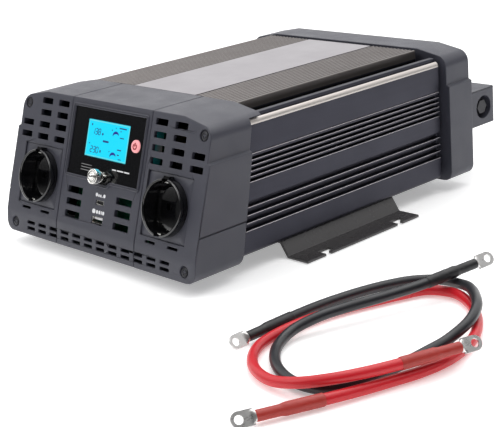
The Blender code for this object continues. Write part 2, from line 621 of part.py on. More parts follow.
# Mounting brackets ----------------------------------------------------------
def brackets():
    """A folded strip: screwed under the body, sloping out and down to a flat foot with open slots."""
    thick = 0.0020
    section = [(0.0880, BODY_BOTTOM - GAP), (0.1105, BODY_BOTTOM - GAP), (0.1180, thick),
               (0.1390, thick), (0.1390, 0), (0.1166, 0), (0.1091, BODY_BOTTOM - GAP - thick),
               (0.0880, BODY_BOTTOM - GAP - thick)]
    for side, word in ((-1, "left"), (1, "right")):
        loop = [(side * x, z) for x, z in section]
        if side > 0:
            loop.reverse()
        mesh = slab("bracket", loop, -BRACKET_LENGTH / 2, BRACKET_LENGTH / 2)
        mesh.transform(STAND)
        bracket = place("bracket_" + word, mesh, BLACK_PLASTIC, Matrix.Translation((0, BRACKET_Y, 0)))
        holes = bmesh.new()
        for end in (-1, 1):
            add_box(holes, (side * 0.1370, end * 0.0440, 0), (0.0130, 0.0060, 0.01))
            add_box(holes, (side * 0.1325, end * 0.0440 + 0.0030, 0), (0.0060, 0.0120, 0.012))
        holes_mesh = finish_mesh(holes, "slots")
        slots = cutter("bracket_%s_slots" % word, holes_mesh, Matrix.Translation((0, BRACKET_Y, 0)))
        boolean(bracket, slots)
        bracket.modifiers[-1].use_self = True


# Battery leads --------------------------------------------------------------
BLACK_ROUTE = (
    (0.2119, -0.2018, 0.0054), (0.2115, -0.1812, 0.0050), (0.2117, -0.1606, 0.0044),
    (0.2143, -0.1401, 0.0042), (0.2186, -0.1200, 0.0041), (0.2249, -0.1004, 0.0040),
    (0.2346, -0.0823, 0.0040), (0.2519, -0.0723, 0.0052), (0.2717, -0.0763, 0.0080),
    (0.2890, -0.0865, 0.0121), (0.3043, -0.1003, 0.0135), (0.3169, -0.1165, 0.0136),
    (0.3238, -0.1354, 0.0111), (0.3220, -0.1550, 0.0054), (0.3211, -0.1756, 0.0043),
    (0.3205, -0.1962, 0.0041), (0.3181, -0.2166, 0.0040), (0.3134, -0.2367, 0.0040),
    (0.3036, -0.2545, 0.0040), (0.2838, -0.2582, 0.0040), (0.2644, -0.2517, 0.0040),
    (0.2479, -0.2395, 0.0040), (0.2353, -0.2232, 0.0041), (0.2304, -0.2037, 0.0066),
    (0.2355, -0.1842, 0.0105), (0.2421, -0.1647, 0.0120), (0.2500, -0.1458, 0.0132),
    (0.2561, -0.1261, 0.0136), (0.2619, -0.1063, 0.0144), (0.2670, -0.0864, 0.0161))
RED_ROUTE = (
    (0.3096, -0.2806, 0.0050), (0.3177, -0.2614, 0.0049), (0.3245, -0.2417, 0.0044),
    (0.3306, -0.2218, 0.0041), (0.3365, -0.2018, 0.0040), (0.3394, -0.1812, 0.0040),
    (0.3378, -0.1604, 0.0040), (0.3318, -0.1405, 0.0040), (0.3218, -0.1223, 0.0040),
    (0.3085, -0.1063, 0.0040), (0.2926, -0.0928, 0.0040), (0.2735, -0.0849, 0.0040),
    (0.2549, -0.0911, 0.0040), (0.2452, -0.1094, 0.0040), (0.2376, -0.1288, 0.0040),
    (0.2303, -0.1484, 0.0040), (0.2249, -0.1685, 0.0040), (0.2221, -0.1891, 0.0040),
    (0.2218, -0.2100, 0.0040), (0.2254, -0.2304, 0.0040), (0.2361, -0.2481, 0.0042),
    (0.2523, -0.2611, 0.0046), (0.2720, -0.2672, 0.0054), (0.2924, -0.2657, 0.0090),
    (0.3099, -0.2555, 0.0123), (0.3223, -0.2389, 0.0136), (0.3309, -0.2199, 0.0138),
    (0.3376, -0.2002, 0.0137))
LEAD_POINTS = 44
BARREL_R = 0.0031
LUG_TILT = math.radians(55)         # how far each ring lug is rolled about its lead


def smooth_route(points, count):
    """Catmull-Rom curve through the points, read at even steps of its length."""
    knots = [Vector(p) for p in points]
    knots = [knots[0] * 2 - knots[1]] + knots + [knots[-1] * 2 - knots[-2]]
    dense = []
    for i in range(1, len(knots) - 2):
        before, here, there, after = knots[i - 1:i + 3]
        for step in range(12):
            t = step / 12
            dense.append(0.5 * (2 * here + (there - before) * t
                                + (2 * before - 5 * here + 4 * there - after) * t * t
                                + (3 * here - before - 3 * there + after) * t ** 3))
    dense.append(knots[-2])
    run = [0.0]
    for first, second in zip(dense, dense[1:]):
        run.append(run[-1] + (second - first).length)
    result, at = [], 0
    for i in range(count):
        want = run[-1] * i / (count - 1)
        while at < len(run) - 2 and run[at + 1] < want:
            at += 1
        share = (want - run[at]) / (run[at + 1] - run[at])
        result.append(dense[at].lerp(dense[at + 1], share))
    return result


def lead_end(name, end, direction, finish):
    """A crimped ring lug in a shrink sleeve, beyond the lead's end, lying along direction."""
    direction = Vector(direction).normalized()
    across = Vector((0, 0, 1)).cross(direction).normalized()
    roll = LUG_TILT if direction.y > 0 else -LUG_TILT
    across = Matrix.Rotation(roll, 3, direction) @ across
    up = direction.cross(across)
    at = Matrix((direction, across, up)).transposed().to_4x4()
    at.translation = end
    profile = [(BARREL_R + 0.0009, 0.0285), (SLEEVE_R - 0.0008, 0.0120), (SLEEVE_R, 0.0110),
               (SLEEVE_R, GAP - 0.0160), (LEAD_R + GAP, GAP - 0.0160), (LEAD_R + GAP, GAP),
               (BARREL_R + GAP, GAP), (BARREL_R + GAP, 0.0285), (BARREL_R + 0.0009, 0.0285)]
    along = Matrix.Rotation(math.pi / 2, 4, "Y")
    turned("sleeve_" + name, profile, finish, at @ along, 16)
    palm = slab("lug_" + name, arc(0.0390, 0, 0.0052, -90, 90, 8) + [(0.0300, 0.0052), (0.0300, -0.0052)],
                -0.0008, 0.0008, [arc(0.0390, 0, 0.0028, 0, 337.5, 15)])
    bm = bmesh.new()
    bm.from_mesh(palm)
    add_rod(bm, (0.0162, 0, 0), BARREL_R, 0.0310, "X", 12)
    merge_parts(place("lug_" + name, finish_mesh(bm, "lug_" + name), STEEL, at))


def leads():
    for word, route, rubber in (("black", BLACK_ROUTE, BLACK_RUBBER), ("red", RED_ROUTE, RED_RUBBER)):
        path = smooth_route(route, LEAD_POINTS)
        place(word + "_lead", tube(word + "_lead", path, LEAD_R), rubber)
        lead_end(word + "_near", path[0], path[0] - path[1], rubber)
        lead_end(word + "_far", path[-1], path[-1] - path[-2], rubber)


front_cap()
rear_cap()
shells()
display()
earth_terminal()
sockets()
ports()
power_stage()
fans()
terminals()
brackets()
leads()
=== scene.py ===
"""Power inverter: finished surfaces, battery leads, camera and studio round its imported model.

Metres, +Z up, the front panel faces -Y. The leaning panel has coordinates of its own: u to the right,
v up the slope from its lower ridge, h out of it.
"""

import math

import bmesh
import bpy
import numpy as np
from bpy.props import FloatProperty, FloatVectorProperty, IntProperty, PointerProperty
from mathutils import Matrix, Vector


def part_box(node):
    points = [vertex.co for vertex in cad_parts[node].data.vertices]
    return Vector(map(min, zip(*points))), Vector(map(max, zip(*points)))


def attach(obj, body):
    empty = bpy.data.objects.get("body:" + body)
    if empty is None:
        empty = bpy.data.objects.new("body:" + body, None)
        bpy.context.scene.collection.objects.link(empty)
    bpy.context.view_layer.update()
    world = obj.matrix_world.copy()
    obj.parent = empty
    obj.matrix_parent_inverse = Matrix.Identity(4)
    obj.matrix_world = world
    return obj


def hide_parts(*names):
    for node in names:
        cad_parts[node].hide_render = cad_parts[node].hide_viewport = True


bl_info = {
    "name": "Power inverter",
    "version": (1, 0, 0),
    "blender": (4, 5, 0),
    "location": "3D View > Sidebar > Inverter",
    "description": "Builds the finished surfaces of a finned battery power inverter",
    "category": "Object",
}

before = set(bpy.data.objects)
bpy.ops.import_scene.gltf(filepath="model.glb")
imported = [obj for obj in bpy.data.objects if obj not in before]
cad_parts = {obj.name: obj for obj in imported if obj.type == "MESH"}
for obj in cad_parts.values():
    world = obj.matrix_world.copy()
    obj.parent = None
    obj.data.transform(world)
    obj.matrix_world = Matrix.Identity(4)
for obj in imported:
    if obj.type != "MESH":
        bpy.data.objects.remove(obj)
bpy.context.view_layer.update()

RIDGE_Y, RIDGE_Z = -0.192, 0.0285
PANEL_LEAN = math.radians(18.3)
SIDES = ((-1, "left"), (1, "right"))


# Shapes from arrays ---------------------------------------------------------
def on_panel(points):
    """(u, v, h) to the row frame: y = ridge + v sin(lean) - h cos(lean), z = ridge + v cos(lean) + h sin(lean)."""
    u, v, h = np.moveaxis(np.asarray(points, float), -1, 0)
    s, c = math.sin(PANEL_LEAN), math.cos(PANEL_LEAN)
    return np.stack([u, RIDGE_Y + v * s - h * c, RIDGE_Z + v * c + h * s], -1)


def centre(node):
    low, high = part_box(node)
    return np.array((low + high) / 2)


def panel_centre(node):
    """(u, v) of a node's middle, its box read back through the panel's lean."""
    x, y, z = centre(node)
    s, c = math.sin(PANEL_LEAN), math.cos(PANEL_LEAN)
    return x, (y - RIDGE_Y) * s + (z - RIDGE_Z) * c


def lattice(rows, cols, wrap_rows=False, wrap_cols=False):
    """Quads between neighbouring points of a rows by cols grid, closed round where asked."""
    r = np.arange(rows if wrap_rows else rows - 1)[:, None]
    c = np.arange(cols if wrap_cols else cols - 1)[None, :]
    r2, c2 = (r + 1) % rows, (c + 1) % cols
    quads = [r * cols + c, r * cols + c2, r2 * cols + c2, r2 * cols + c]
    return np.stack(np.broadcast_arrays(*quads), -1).reshape(-1, 4)


def skin(name, points, faces, soft=40.0):
    """A mesh of points and faces with doubles merged and faces turned outwards."""
    mesh = bpy.data.meshes.new(name)
    mesh.from_pydata(np.asarray(points, float).reshape(-1, 3), [], faces)
    bm = bmesh.new()
    bm.from_mesh(mesh)
    bmesh.ops.remove_doubles(bm, verts=bm.verts, dist=0.0000002)
    bmesh.ops.recalc_face_normals(bm, faces=bm.faces)
    bm.to_mesh(mesh)
    bm.free()
    mesh.shade_smooth()
    mesh.set_sharp_from_angle(angle=math.radians(soft))
    return mesh


def piece(name, mesh, finish, body="root", slot=None, stands_for=()):
    """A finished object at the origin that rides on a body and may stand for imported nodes."""
    made = bpy.data.objects.new(name, mesh)
    bpy.context.scene.collection.objects.link(made)
    if finish:
        mesh.materials.clear()
        mesh.materials.append(finish)
    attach(made, body)
    if stands_for:
        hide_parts(*stands_for)
    return made


def grid_piece(name, points, wrap_rows, wrap_cols, finish, soft=40.0, **where):
    """A surface P(i, j) given as an array of rows by columns by 3."""
    faces = lattice(*points.shape[:2], wrap_rows, wrap_cols).tolist()
    return piece(name, skin(name, points, faces, soft), finish, **where)


def turned(profile, steps=96, ripple=None):
    """P(i, t) = (r_i cos t, r_i sin t, h_i); ripple(r, h, t) may change the radius."""
    r, h = np.asarray(profile, float).T
    t = np.linspace(0, math.tau, steps, endpoint=False)
    radius = np.repeat(r[:, None], steps, 1)
    if ripple:
        radius = ripple(radius, h[:, None], t[None, :])
    return np.stack([radius * np.cos(t), radius * np.sin(t), np.repeat(h[:, None], steps, 1)], -1)


def prisms(outlines, low, high):
    """Closed prisms: each outline (k, n, 2) stands from low to high. Returns points and faces."""
    outlines = np.asarray(outlines, float)
    k, n, _ = outlines.shape
    levels = np.empty((k, 2, n, 3))
    levels[..., :2] = outlines[:, None]
    levels[:, 0, :, 2], levels[:, 1, :, 2] = low, high
    start = (np.arange(k) * 2 * n)[:, None]
    i = np.arange(n)[None, :]
    j = (i + 1) % n
    sides = np.stack([start + i, start + j, start + n + j, start + n + i], -1).reshape(-1, 4)
    caps = np.concatenate([start + i[:, ::-1], start + n + i])
    return levels.reshape(-1, 3), sides.tolist() + caps.tolist()


def rounded(left, right, low, high, radius, count=6):
    """A rectangle with round corners, anticlockwise: centre + radius (cos t, sin t) at each corner."""
    t = np.linspace(0, math.pi / 2, count + 1)
    arc = np.stack([np.cos(t), np.sin(t)], -1) * radius
    turn = np.array([[0, 1], [-1, 0]])
    middles = [(right - radius, high - radius), (left + radius, high - radius),
               (left + radius, low + radius), (right - radius, low + radius)]
    corners = [arc @ np.linalg.matrix_power(turn, i) + middle for i, middle in enumerate(middles)]
    return np.concatenate(corners)


def softened_corners(points, radius, count=5):
    """A closed polygon with each corner cut to a curve (1-s)^2 A + 2 s (1-s) B + s^2 C."""
    points = np.asarray(points, float)
    before, after = np.roll(points, 1, 0) - points, np.roll(points, -1, 0) - points
    reach = np.broadcast_to(np.asarray(radius, float), len(points))[:, None]
    a = points + before / np.linalg.norm(before, axis=1)[:, None] * reach
    c = points + after / np.linalg.norm(after, axis=1)[:, None] * reach
    s = np.linspace(0, 1, count + 1)[None, :, None]
    curve = (1 - s) ** 2 * a[:, None] + 2 * s * (1 - s) * points[:, None] + s ** 2 * c[:, None]
    return curve.reshape(-1, 2)


def moulding(path, profile):
    """A closed (offset, height) profile carried round a closed path: P(i, j) = path_i + offset_j n_i."""
    path, profile = np.asarray(path, float), np.asarray(profile, float)
    along = np.roll(path, -1, 0) - np.roll(path, 1, 0)
    along /= np.linalg.norm(along, axis=1)[:, None]
    outward = np.stack([along[:, 1], -along[:, 0]], -1)
    flat = path[:, None] + profile[None, :, :1] * outward[:, None]
    height = np.broadcast_to(profile[None, :, 1:], (*flat.shape[:2], 1))
    return np.concatenate([flat, height], -1)


def smooth_route(points, count):
    """Catmull-Rom curve through the points, read at even steps of its length."""
    p = np.asarray(points, float)
    p = np.concatenate([[2 * p[0] - p[1]], p, [2 * p[-1] - p[-2]]])
    t = np.linspace(0, 1, 24, endpoint=False)[None, :, None]
    a, b, c, d = (p[i:len(p) - 3 + i, None] for i in range(4))
    curve = 0.5 * (2 * b + (c - a) * t + (2 * a - 5 * b + 4 * c - d) * t ** 2
                   + (3 * b - a - 3 * c + d) * t ** 3)
    dense = np.concatenate([curve.reshape(-1, 3), p[-2:-1]])
    run = np.concatenate([[0], np.cumsum(np.linalg.norm(np.diff(dense, axis=0), axis=1))])
    even = np.linspace(0, run[-1], count)
    return np.stack([np.interp(even, run, axis) for axis in dense.T], -1)


def frames_along(path):
    """Unit tangent, side and up at each point of a path that never stands upright."""
    along = np.gradient(path, axis=0)
    along /= np.linalg.norm(along, axis=1)[:, None]
    side = np.cross((0, 0, 1), along)
    side /= np.linalg.norm(side, axis=1)[:, None]
    return along, side, np.cross(along, side)


def swept(path, radius, steps=28):
    """A round tube: P(i, t) = path_i + radius_i (side_i cos t + up_i sin t), closed by its end points."""
    _, side, up = frames_along(path)
    t = np.linspace(0, math.tau, steps, endpoint=False)[None, :, None]
    r = np.broadcast_to(radius, len(path))[:, None, None]
    walls = path[:, None] + r * (side[:, None] * np.cos(t) + up[:, None] * np.sin(t))
    ends = np.repeat(path[[0, -1], None], steps, 1)
    return np.concatenate([ends[:1], walls, ends[1:]])


def merged(mesh, name):
    """A copy of a mesh in triangles with its doubles merged."""
    bm = bmesh.new()
    bm.from_mesh(mesh)
    bmesh.ops.remove_doubles(bm, verts=bm.verts, dist=0.000002)
    bmesh.ops.triangulate(bm, faces=bm.faces)
    copy = bpy.data.meshes.new(name)
    bm.to_mesh(copy)
    bm.free()
    copy.shade_smooth()
    return copy


def carve(made, tools):
    """Cuts closed tools out of a piece and removes them."""
    for tool in tools:
        step = made.modifiers.new("cut", "BOOLEAN")
        step.operation = "DIFFERENCE"
        step.solver = "EXACT"
        step.object = tool
    bpy.context.view_layer.update()
    cut = made.evaluated_get(bpy.context.evaluated_depsgraph_get())
    surface = made.data.materials[0]
    made.data = merged(bpy.data.meshes.new_from_object(cut), made.name)
    made.data.materials.append(surface)
    made.modifiers.clear()
    for tool in tools:
        bpy.data.objects.remove(tool)


def round_edges(made, width, segments=2, limit=32.0):
    bevel = made.modifiers.new("round edges", "BEVEL")
    bevel.width = width
    bevel.segments = segments
    bevel.limit_method = "ANGLE"
    bevel.angle_limit = math.radians(limit)
    bevel.miter_outer = "MITER_ARC"
    bevel.use_clamp_overlap = False
    level = made.modifiers.new("even shading", "WEIGHTED_NORMAL")
    level.keep_sharp = True


def finished_node(node, width, finish, slot, body="root", segments=2, carved=()):
    """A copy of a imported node, with grooves carved, rounded edges and its finish, that stands for it."""
    mesh = merged(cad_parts[node].data, node + "_finish")
    made = piece(node + "_finish", mesh, finish, body, slot, (node,))
    if carved:
        carve(made, carved)
    round_edges(made, width, segments)
    return made


def round_corners(made, radius, count=5):
    """Rounds the four rear edges of a block that run across it, by bevelling them in the mesh."""
    bm = bmesh.new()
    bm.from_mesh(made.data)
    y = max(v.co.y for v in bm.verts) - 0.00005
    z = [v.co.z for v in bm.verts if v.co.y > y]
    low, high = min(z) + 0.00005, max(z) - 0.00005
    ends = [e for e in bm.edges if all(v.co.y > y and not low < v.co.z < high for v in e.verts)
            and abs(e.verts[0].co.z - e.verts[1].co.z) < 0.00005]
    bmesh.ops.bevel(bm, geom=ends, offset=radius, segments=count, profile=0.5, affect="EDGES")
    bmesh.ops.triangulate(bm, faces=bm.faces)
    bm.to_mesh(made.data)
    bm.free()


def carver(name, points, faces):
    """A closed cutter that is removed once its groove is cut."""
    tool = bpy.data.objects.new(name, skin(name, points, faces))
    bpy.context.scene.collection.objects.link(tool)
    return tool


# Finishes -------------------------------------------------------------------
def finish(name, colour, rough, metal=0.0, grain=None, streak=None, mottle=None, gloss=None,
           coat=0.0, glow=0.0, specular=0.5):
    """A Principled surface. grain is (scale, depth in m); streak (x, y, z scales, depth); mottle
    (scale, share of the colour); gloss (scale, change of roughness)."""
    made = bpy.data.materials.new(name)
    made.use_nodes = True
    nodes, links = made.node_tree.nodes, made.node_tree.links
    shader = nodes["Principled BSDF"]
    shader.inputs["Base Color"].default_value = (*colour, 1.0)
    shader.inputs["Roughness"].default_value = rough
    shader.inputs["Metallic"].default_value = metal
    shader.inputs["Coat Weight"].default_value = coat
    shader.inputs["Coat Roughness"].default_value = 0.06
    shader.inputs["Specular IOR Level"].default_value = specular
    if glow:
        shader.inputs["Base Color"].default_value = (*[0.3 * c for c in colour], 1.0)
        shader.inputs["Emission Color"].default_value = (*colour, 1.0)
        shader.inputs["Emission Strength"].default_value = glow
    place = nodes.new("ShaderNodeTexCoord")
    source = place.outputs["Object"]
    stretched = source
    if streak:
        mapping = nodes.new("ShaderNodeMapping")
        mapping.inputs["Scale"].default_value = streak[:3]
        links.new(source, mapping.inputs["Vector"])
        stretched = mapping.outputs["Vector"]

    def noise(scale, detail, vector):
        made_noise = nodes.new("ShaderNodeTexNoise")
        made_noise.inputs["Scale"].default_value = scale
        made_noise.inputs["Detail"].default_value = detail
        links.new(vector, made_noise.inputs["Vector"])
        return made_noise.outputs["Fac"]

    if mottle:
        mix = nodes.new("ShaderNodeMix")
        mix.data_type = "RGBA"
        scale, share = mottle
        base = shader.inputs["Base Color"].default_value[:3]
        mix.inputs["A"].default_value = (*[c * (1 - share) for c in base], 1.0)
        mix.inputs["B"].default_value = (*[min(1.0, c * (1 + share)) for c in base], 1.0)
        links.new(noise(scale, 4, stretched if streak else source), mix.inputs["Factor"])
        links.new(mix.outputs["Result"], shader.inputs["Base Color"])
    if gloss:
        spread = nodes.new("ShaderNodeMapRange")
        spread.inputs["From Min"].default_value = 0.3
        spread.inputs["From Max"].default_value = 0.7
        spread.inputs["To Min"].default_value = rough - gloss[1]
        spread.inputs["To Max"].default_value = rough + gloss[1]
        links.new(noise(gloss[0], 3, source), spread.inputs["Value"])
        links.new(spread.outputs["Result"], shader.inputs["Roughness"])
    relief = None
    for layer in (grain and (grain[0], grain[1], source), streak and (1.0, streak[3], stretched)):
        if layer:
            bump = nodes.new("ShaderNodeBump")
            bump.inputs["Distance"].default_value = layer[1]
            bump.inputs["Strength"].default_value = 0.6
            links.new(noise(layer[0], 3, layer[2]), bump.inputs["Height"])
            if relief:
                links.new(relief, bump.inputs["Normal"])
            relief = bump.outputs["Normal"]
    if relief:
        links.new(relief, shader.inputs["Normal"])
    return made


def shoulder_strips_and_painted_light(made, colour, rib_sheen_colour):
    """Light strips along the body's shoulders: a band in height and in distance from the middle. Painted light
    too: a painted sheen on the top ribs, painted shade in the channel beside them and a painted highlight on the
    fins' upward-facing edges.
    """
    nodes, links = made.node_tree.nodes, made.node_tree.links
    shader = nodes["Principled BSDF"]
    place = next(n for n in nodes if n.type == "TEX_COORD")
    split = nodes.new("ShaderNodeSeparateXYZ")
    links.new(place.outputs["Object"], split.inputs["Vector"])

    def band(value, low, high):
        above, below = nodes.new("ShaderNodeMath"), nodes.new("ShaderNodeMath")
        above.operation, below.operation = "GREATER_THAN", "LESS_THAN"
        above.inputs[1].default_value, below.inputs[1].default_value = low, high
        both = nodes.new("ShaderNodeMath")
        both.operation = "MULTIPLY"
        links.new(value, above.inputs[0])
        links.new(value, below.inputs[0])
        links.new(above.outputs[0], both.inputs[0])
        links.new(below.outputs[0], both.inputs[1])
        return both.outputs[0]

    away = nodes.new("ShaderNodeMath")
    away.operation = "ABSOLUTE"
    links.new(split.outputs["X"], away.inputs[0])
    strip = nodes.new("ShaderNodeMath")
    strip.operation = "MULTIPLY"
    links.new(band(split.outputs["Z"], 0.1141, 0.1188), strip.inputs[0])
    links.new(band(away.outputs[0], 0.1100, 0.1200), strip.inputs[1])
    # Painted sheen: the top ribs are painted a lighter bronze-grey to stand for the grazing reflection they catch.
    rib_sheen = nodes.new("ShaderNodeMath")
    rib_sheen.operation = "MULTIPLY"
    links.new(band(split.outputs["Z"], 0.1190, 0.1300), rib_sheen.inputs[0])
    links.new(band(away.outputs[0], -0.01, 0.0893), rib_sheen.inputs[1])
    # Painted shade: the channel between the top ribs and the shoulder strip is painted near-black.
    channel_shade = nodes.new("ShaderNodeMath")
    channel_shade.operation = "MULTIPLY"
    links.new(band(split.outputs["Z"], 0.1120, 0.1300), channel_shade.inputs[0])
    links.new(band(away.outputs[0], 0.0893, 0.1042), channel_shade.inputs[1])
    # Painted highlight: fin faces that turn upwards, at the fins' outer tips and within their heights, are painted
    # light grey.
    facing, turn = nodes.new("ShaderNodeNewGeometry"), nodes.new("ShaderNodeSeparateXYZ")
    links.new(facing.outputs["True Normal"], turn.inputs["Vector"])
    edge, fin_highlight = nodes.new("ShaderNodeMath"), nodes.new("ShaderNodeMath")
    edge.operation = fin_highlight.operation = "MULTIPLY"
    links.new(band(turn.outputs["Z"], 0.30, 0.97), edge.inputs[0])
    links.new(band(split.outputs["Z"], 0.0300, 0.0960), edge.inputs[1])
    links.new(band(away.outputs[0], 0.1128, 0.1200), fin_highlight.inputs[0])
    links.new(edge.outputs[0], fin_highlight.inputs[1])
    # Tints in order: the shoulder strip, the ribs' painted sheen, the channel's painted shade, the fins' painted
    # highlight.
    for mask, tint in ((strip, colour), (rib_sheen, rib_sheen_colour), (channel_shade, (0.004, 0.004, 0.005)),
                       (fin_highlight, (0.60, 0.57, 0.60))):
        mix = nodes.new("ShaderNodeMix")
        mix.data_type = "RGBA"
        mix.inputs["B"].default_value = (*tint, 1.0)
        links.new(mask.outputs[0], mix.inputs["Factor"])
        links.new(shader.inputs["Base Color"].links[0].from_socket, mix.inputs["A"])
        links.new(mix.outputs["Result"], shader.inputs["Base Color"])
    return made


def make_finishes(c):
    """Every finish of the inverter by its plain name."""
    f = {}
    f["case"] = finish("moulded_case", c.case, 0.46, grain=(2600, 0.00012), mottle=(26, 0.07),
                       gloss=(60, 0.05))
    # The body's shoulder strips, with painted sheen on the top ribs (the second colour), painted shade in the
    # channel and painted highlights on the fin edges.
    f["body"] = shoulder_strips_and_painted_light(
        finish("anodised_body", c.anodised, 0.40, 0.7, streak=(300, 5, 300, 0.00001),
               mottle=(1.0, 0.10), gloss=(40, 0.05)), (0.60, 0.56, 0.53), (0.16, 0.145, 0.14))
    f["plate"] = finish("satin_plate", c.plate, 0.34, 0.75, streak=(1500, 30, 1500, 0.00001),
                        mottle=(1.0, 0.05), gloss=(30, 0.04))
    f["gloss"] = finish("gloss_black", (0.004, 0.004, 0.005), 0.07, gloss=(90, 0.02),
                        mottle=(40, 0.2), coat=0.6)
    f["pane"] = finish("display_pane", (0.003, 0.003, 0.004), 0.10, gloss=(70, 0.02),
                       mottle=(40, 0.2))
    f["lcd"] = finish("lcd_backlight", c.lcd, 0.25, glow=0.85, mottle=(60, 0.05))
    f["lcd_edge"] = finish("lcd_edge", (0.16, 0.82, 0.85), 0.3, glow=0.6, mottle=(80, 0.05))
    f["digits"] = finish("lcd_digits", (0.003, 0.045, 0.22), 0.4, mottle=(900, 0.1))
    f["icon"] = finish("lcd_icons", (0.001, 0.02, 0.30), 0.4, mottle=(900, 0.1))
    f["glow"] = finish("button_light", (1.0, 0.40, 0.42), 0.3, glow=0.75, mottle=(500, 0.08))
    f["symbol"] = finish("button_symbol", (0.50, 0.004, 0.015), 0.35, mottle=(700, 0.1), glow=0.2)
    f["print"] = finish("white_print", (0.80, 0.80, 0.82), 0.5, mottle=(700, 0.06))
    f["grey_print"] = finish("grey_print", (0.20, 0.20, 0.20), 0.5, mottle=(700, 0.08))
    f["nickel"] = finish("nickel_plate", (0.78, 0.77, 0.74), 0.20, 1.0, grain=(1400, 0.00003),
                         gloss=(300, 0.06), mottle=(120, 0.05))
    f["tin"] = finish("tinned_copper", (0.72, 0.71, 0.70), 0.30, 1.0, grain=(900, 0.00008),
                      gloss=(200, 0.08), mottle=(150, 0.08))
    f["steel"] = finish("black_bolt", (0.030, 0.030, 0.034), 0.36, 0.6, grain=(1200, 0.00004),
                        gloss=(200, 0.06), mottle=(100, 0.1))
    f["bracket"] = finish("painted_steel", (0.055, 0.052, 0.054), 0.27, grain=(900, 0.00010),
                          gloss=(60, 0.06), mottle=(30, 0.1))
    f["black_cable"] = finish("black_sheath", c.black_lead, 0.34, grain=(700, 0.00010),
                              gloss=(50, 0.07), mottle=(35, 0.15))
    f["red_cable"] = finish("red_sheath", c.red_lead, 0.34, grain=(700, 0.00010),
                            gloss=(50, 0.07), mottle=(35, 0.08))
    f["black_shrink"] = finish("black_shrink", (0.010, 0.010, 0.012), 0.42, grain=(500, 0.00025),
                               gloss=(90, 0.08), mottle=(60, 0.2))
    f["red_shrink"] = finish("red_shrink", (0.40, 0.030, 0.022), 0.42, grain=(500, 0.00025),
                             gloss=(90, 0.08), mottle=(60, 0.12))
    f["board"] = finish("circuit_board", (0.010, 0.13, 0.06), 0.35, grain=(500, 0.00006),
                        mottle=(260, 0.35), gloss=(200, 0.08))
    f["brass"] = finish("stamped_brass", (0.70, 0.50, 0.20), 0.3, 1.0, grain=(900, 0.00004),
                        mottle=(90, 0.08))
    f["copper"] = finish("bare_copper", (0.72, 0.32, 0.16), 0.32, 1.0, grain=(900, 0.00006),
                         mottle=(90, 0.1))
    f["winding"] = finish("taped_winding", (0.42, 0.31, 0.05), 0.5, grain=(700, 0.0001),
                          mottle=(70, 0.15))
    f["bare"] = finish("mill_aluminium", (0.62, 0.62, 0.63), 0.35, 1.0,
                       streak=(900, 9, 900, 0.00003), mottle=(1.0, 0.08))
    f["plastic"] = finish("black_plastic", (0.014, 0.014, 0.016), 0.42, grain=(1500, 0.00008),
                          gloss=(80, 0.06), mottle=(50, 0.15))
    return f


FINISHES = {}


# Settings -------------------------------------------------------------------
def colour_property(name, text, value):
    return FloatVectorProperty(name=name, description=text, default=value, size=3,
                               subtype="COLOR", min=0.0, max=1.0)


class InverterSizes(bpy.types.PropertyGroup):
    bezel_width: FloatProperty(
        name="Bezel width", description="Width of the raised double line round the display",
        default=0.0026, min=0.001, max=0.006, unit="LENGTH")
    bezel_height: FloatProperty(
        name="Bezel height", description="How far the bezel stands off the panel",
        default=0.0012, min=0.0003, max=0.003, unit="LENGTH")
    seam_width: FloatProperty(
        name="Seam width", description="Width of the grooves moulded in the front cap",
        default=0.0006, min=0.0002, max=0.002, unit="LENGTH")
    edge: FloatProperty(
        name="Edge rounding", description="Radius of the moulded caps' edges",
        default=0.0006, min=0.0001, max=0.002, unit="LENGTH")
    digit_height: FloatProperty(
        name="Digit height", description="Height of the display's numbers",
        default=0.0047, min=0.002, max=0.008, unit="LENGTH")
    knurls: IntProperty(
        name="Knurls", description="Ridges round the earth nut", default=36, min=12, max=72)
    lead_radius: FloatProperty(
        name="Lead radius", description="Radius of the battery leads' sheath",
        default=0.00375, min=0.002, max=0.006, unit="LENGTH")


class InverterColours(bpy.types.PropertyGroup):
    case: colour_property("Case", "Moulded end caps", (0.046, 0.047, 0.064))
    anodised: colour_property("Body", "Anodised aluminium shells", (0.034, 0.034, 0.048))
    plate: colour_property("Plate", "Satin plate along the top", (0.30, 0.28, 0.30))
    lcd: colour_property("Display", "Backlight of the display", (0.006, 0.66, 0.92))
    black_lead: colour_property("Negative lead", "Sheath of the black lead", (0.014, 0.015, 0.019))
    red_lead: colour_property("Positive lead", "Sheath of the red lead", (0.62, 0.012, 0.022))


class InverterStudio(bpy.types.PropertyGroup):
    lens: FloatProperty(
        name="Lens", description="Focal length on a 36 mm sensor", default=93.93,
        min=20.0, max=200.0)
    backdrop: FloatProperty(
        name="Dome", description="Brightness of the white dome overhead and behind", default=1.28,
        min=0.0, max=4.0)
    floor_light: FloatProperty(
        name="Floor light", description="Light given off by the floor, which softens the shadow",
        default=0.35, min=0.0, max=2.0)
    horizon: FloatProperty(
        name="Horizon", description="Brightness of the dim horizon in front", default=0.10,
        min=0.0, max=4.0)
    overhead: FloatProperty(
        name="Overhead light", description="Power of the softbox over the object",
        default=5.0, min=0.0, max=200.0, unit="POWER")
    key: FloatProperty(
        name="Key light", description="Power of the softbox in front, to the left",
        default=5.0, min=0.0, max=200.0, unit="POWER")


# Studio ---------------------------------------------------------------------
def softbox(name, place, target, size, power):
    light = bpy.data.lights.new(name, "AREA")
    light.shape = "RECTANGLE"
    light.size, light.size_y = size
    light.energy = power
    made = bpy.data.objects.new(name, light)
    made.location = place
    away = (np.array(place) - np.array(target)).tolist()
    made.rotation_mode = "QUATERNION"
    made.rotation_quaternion = Vector(away).to_track_quat("Z", "Y")
    bpy.context.scene.collection.objects.link(made)


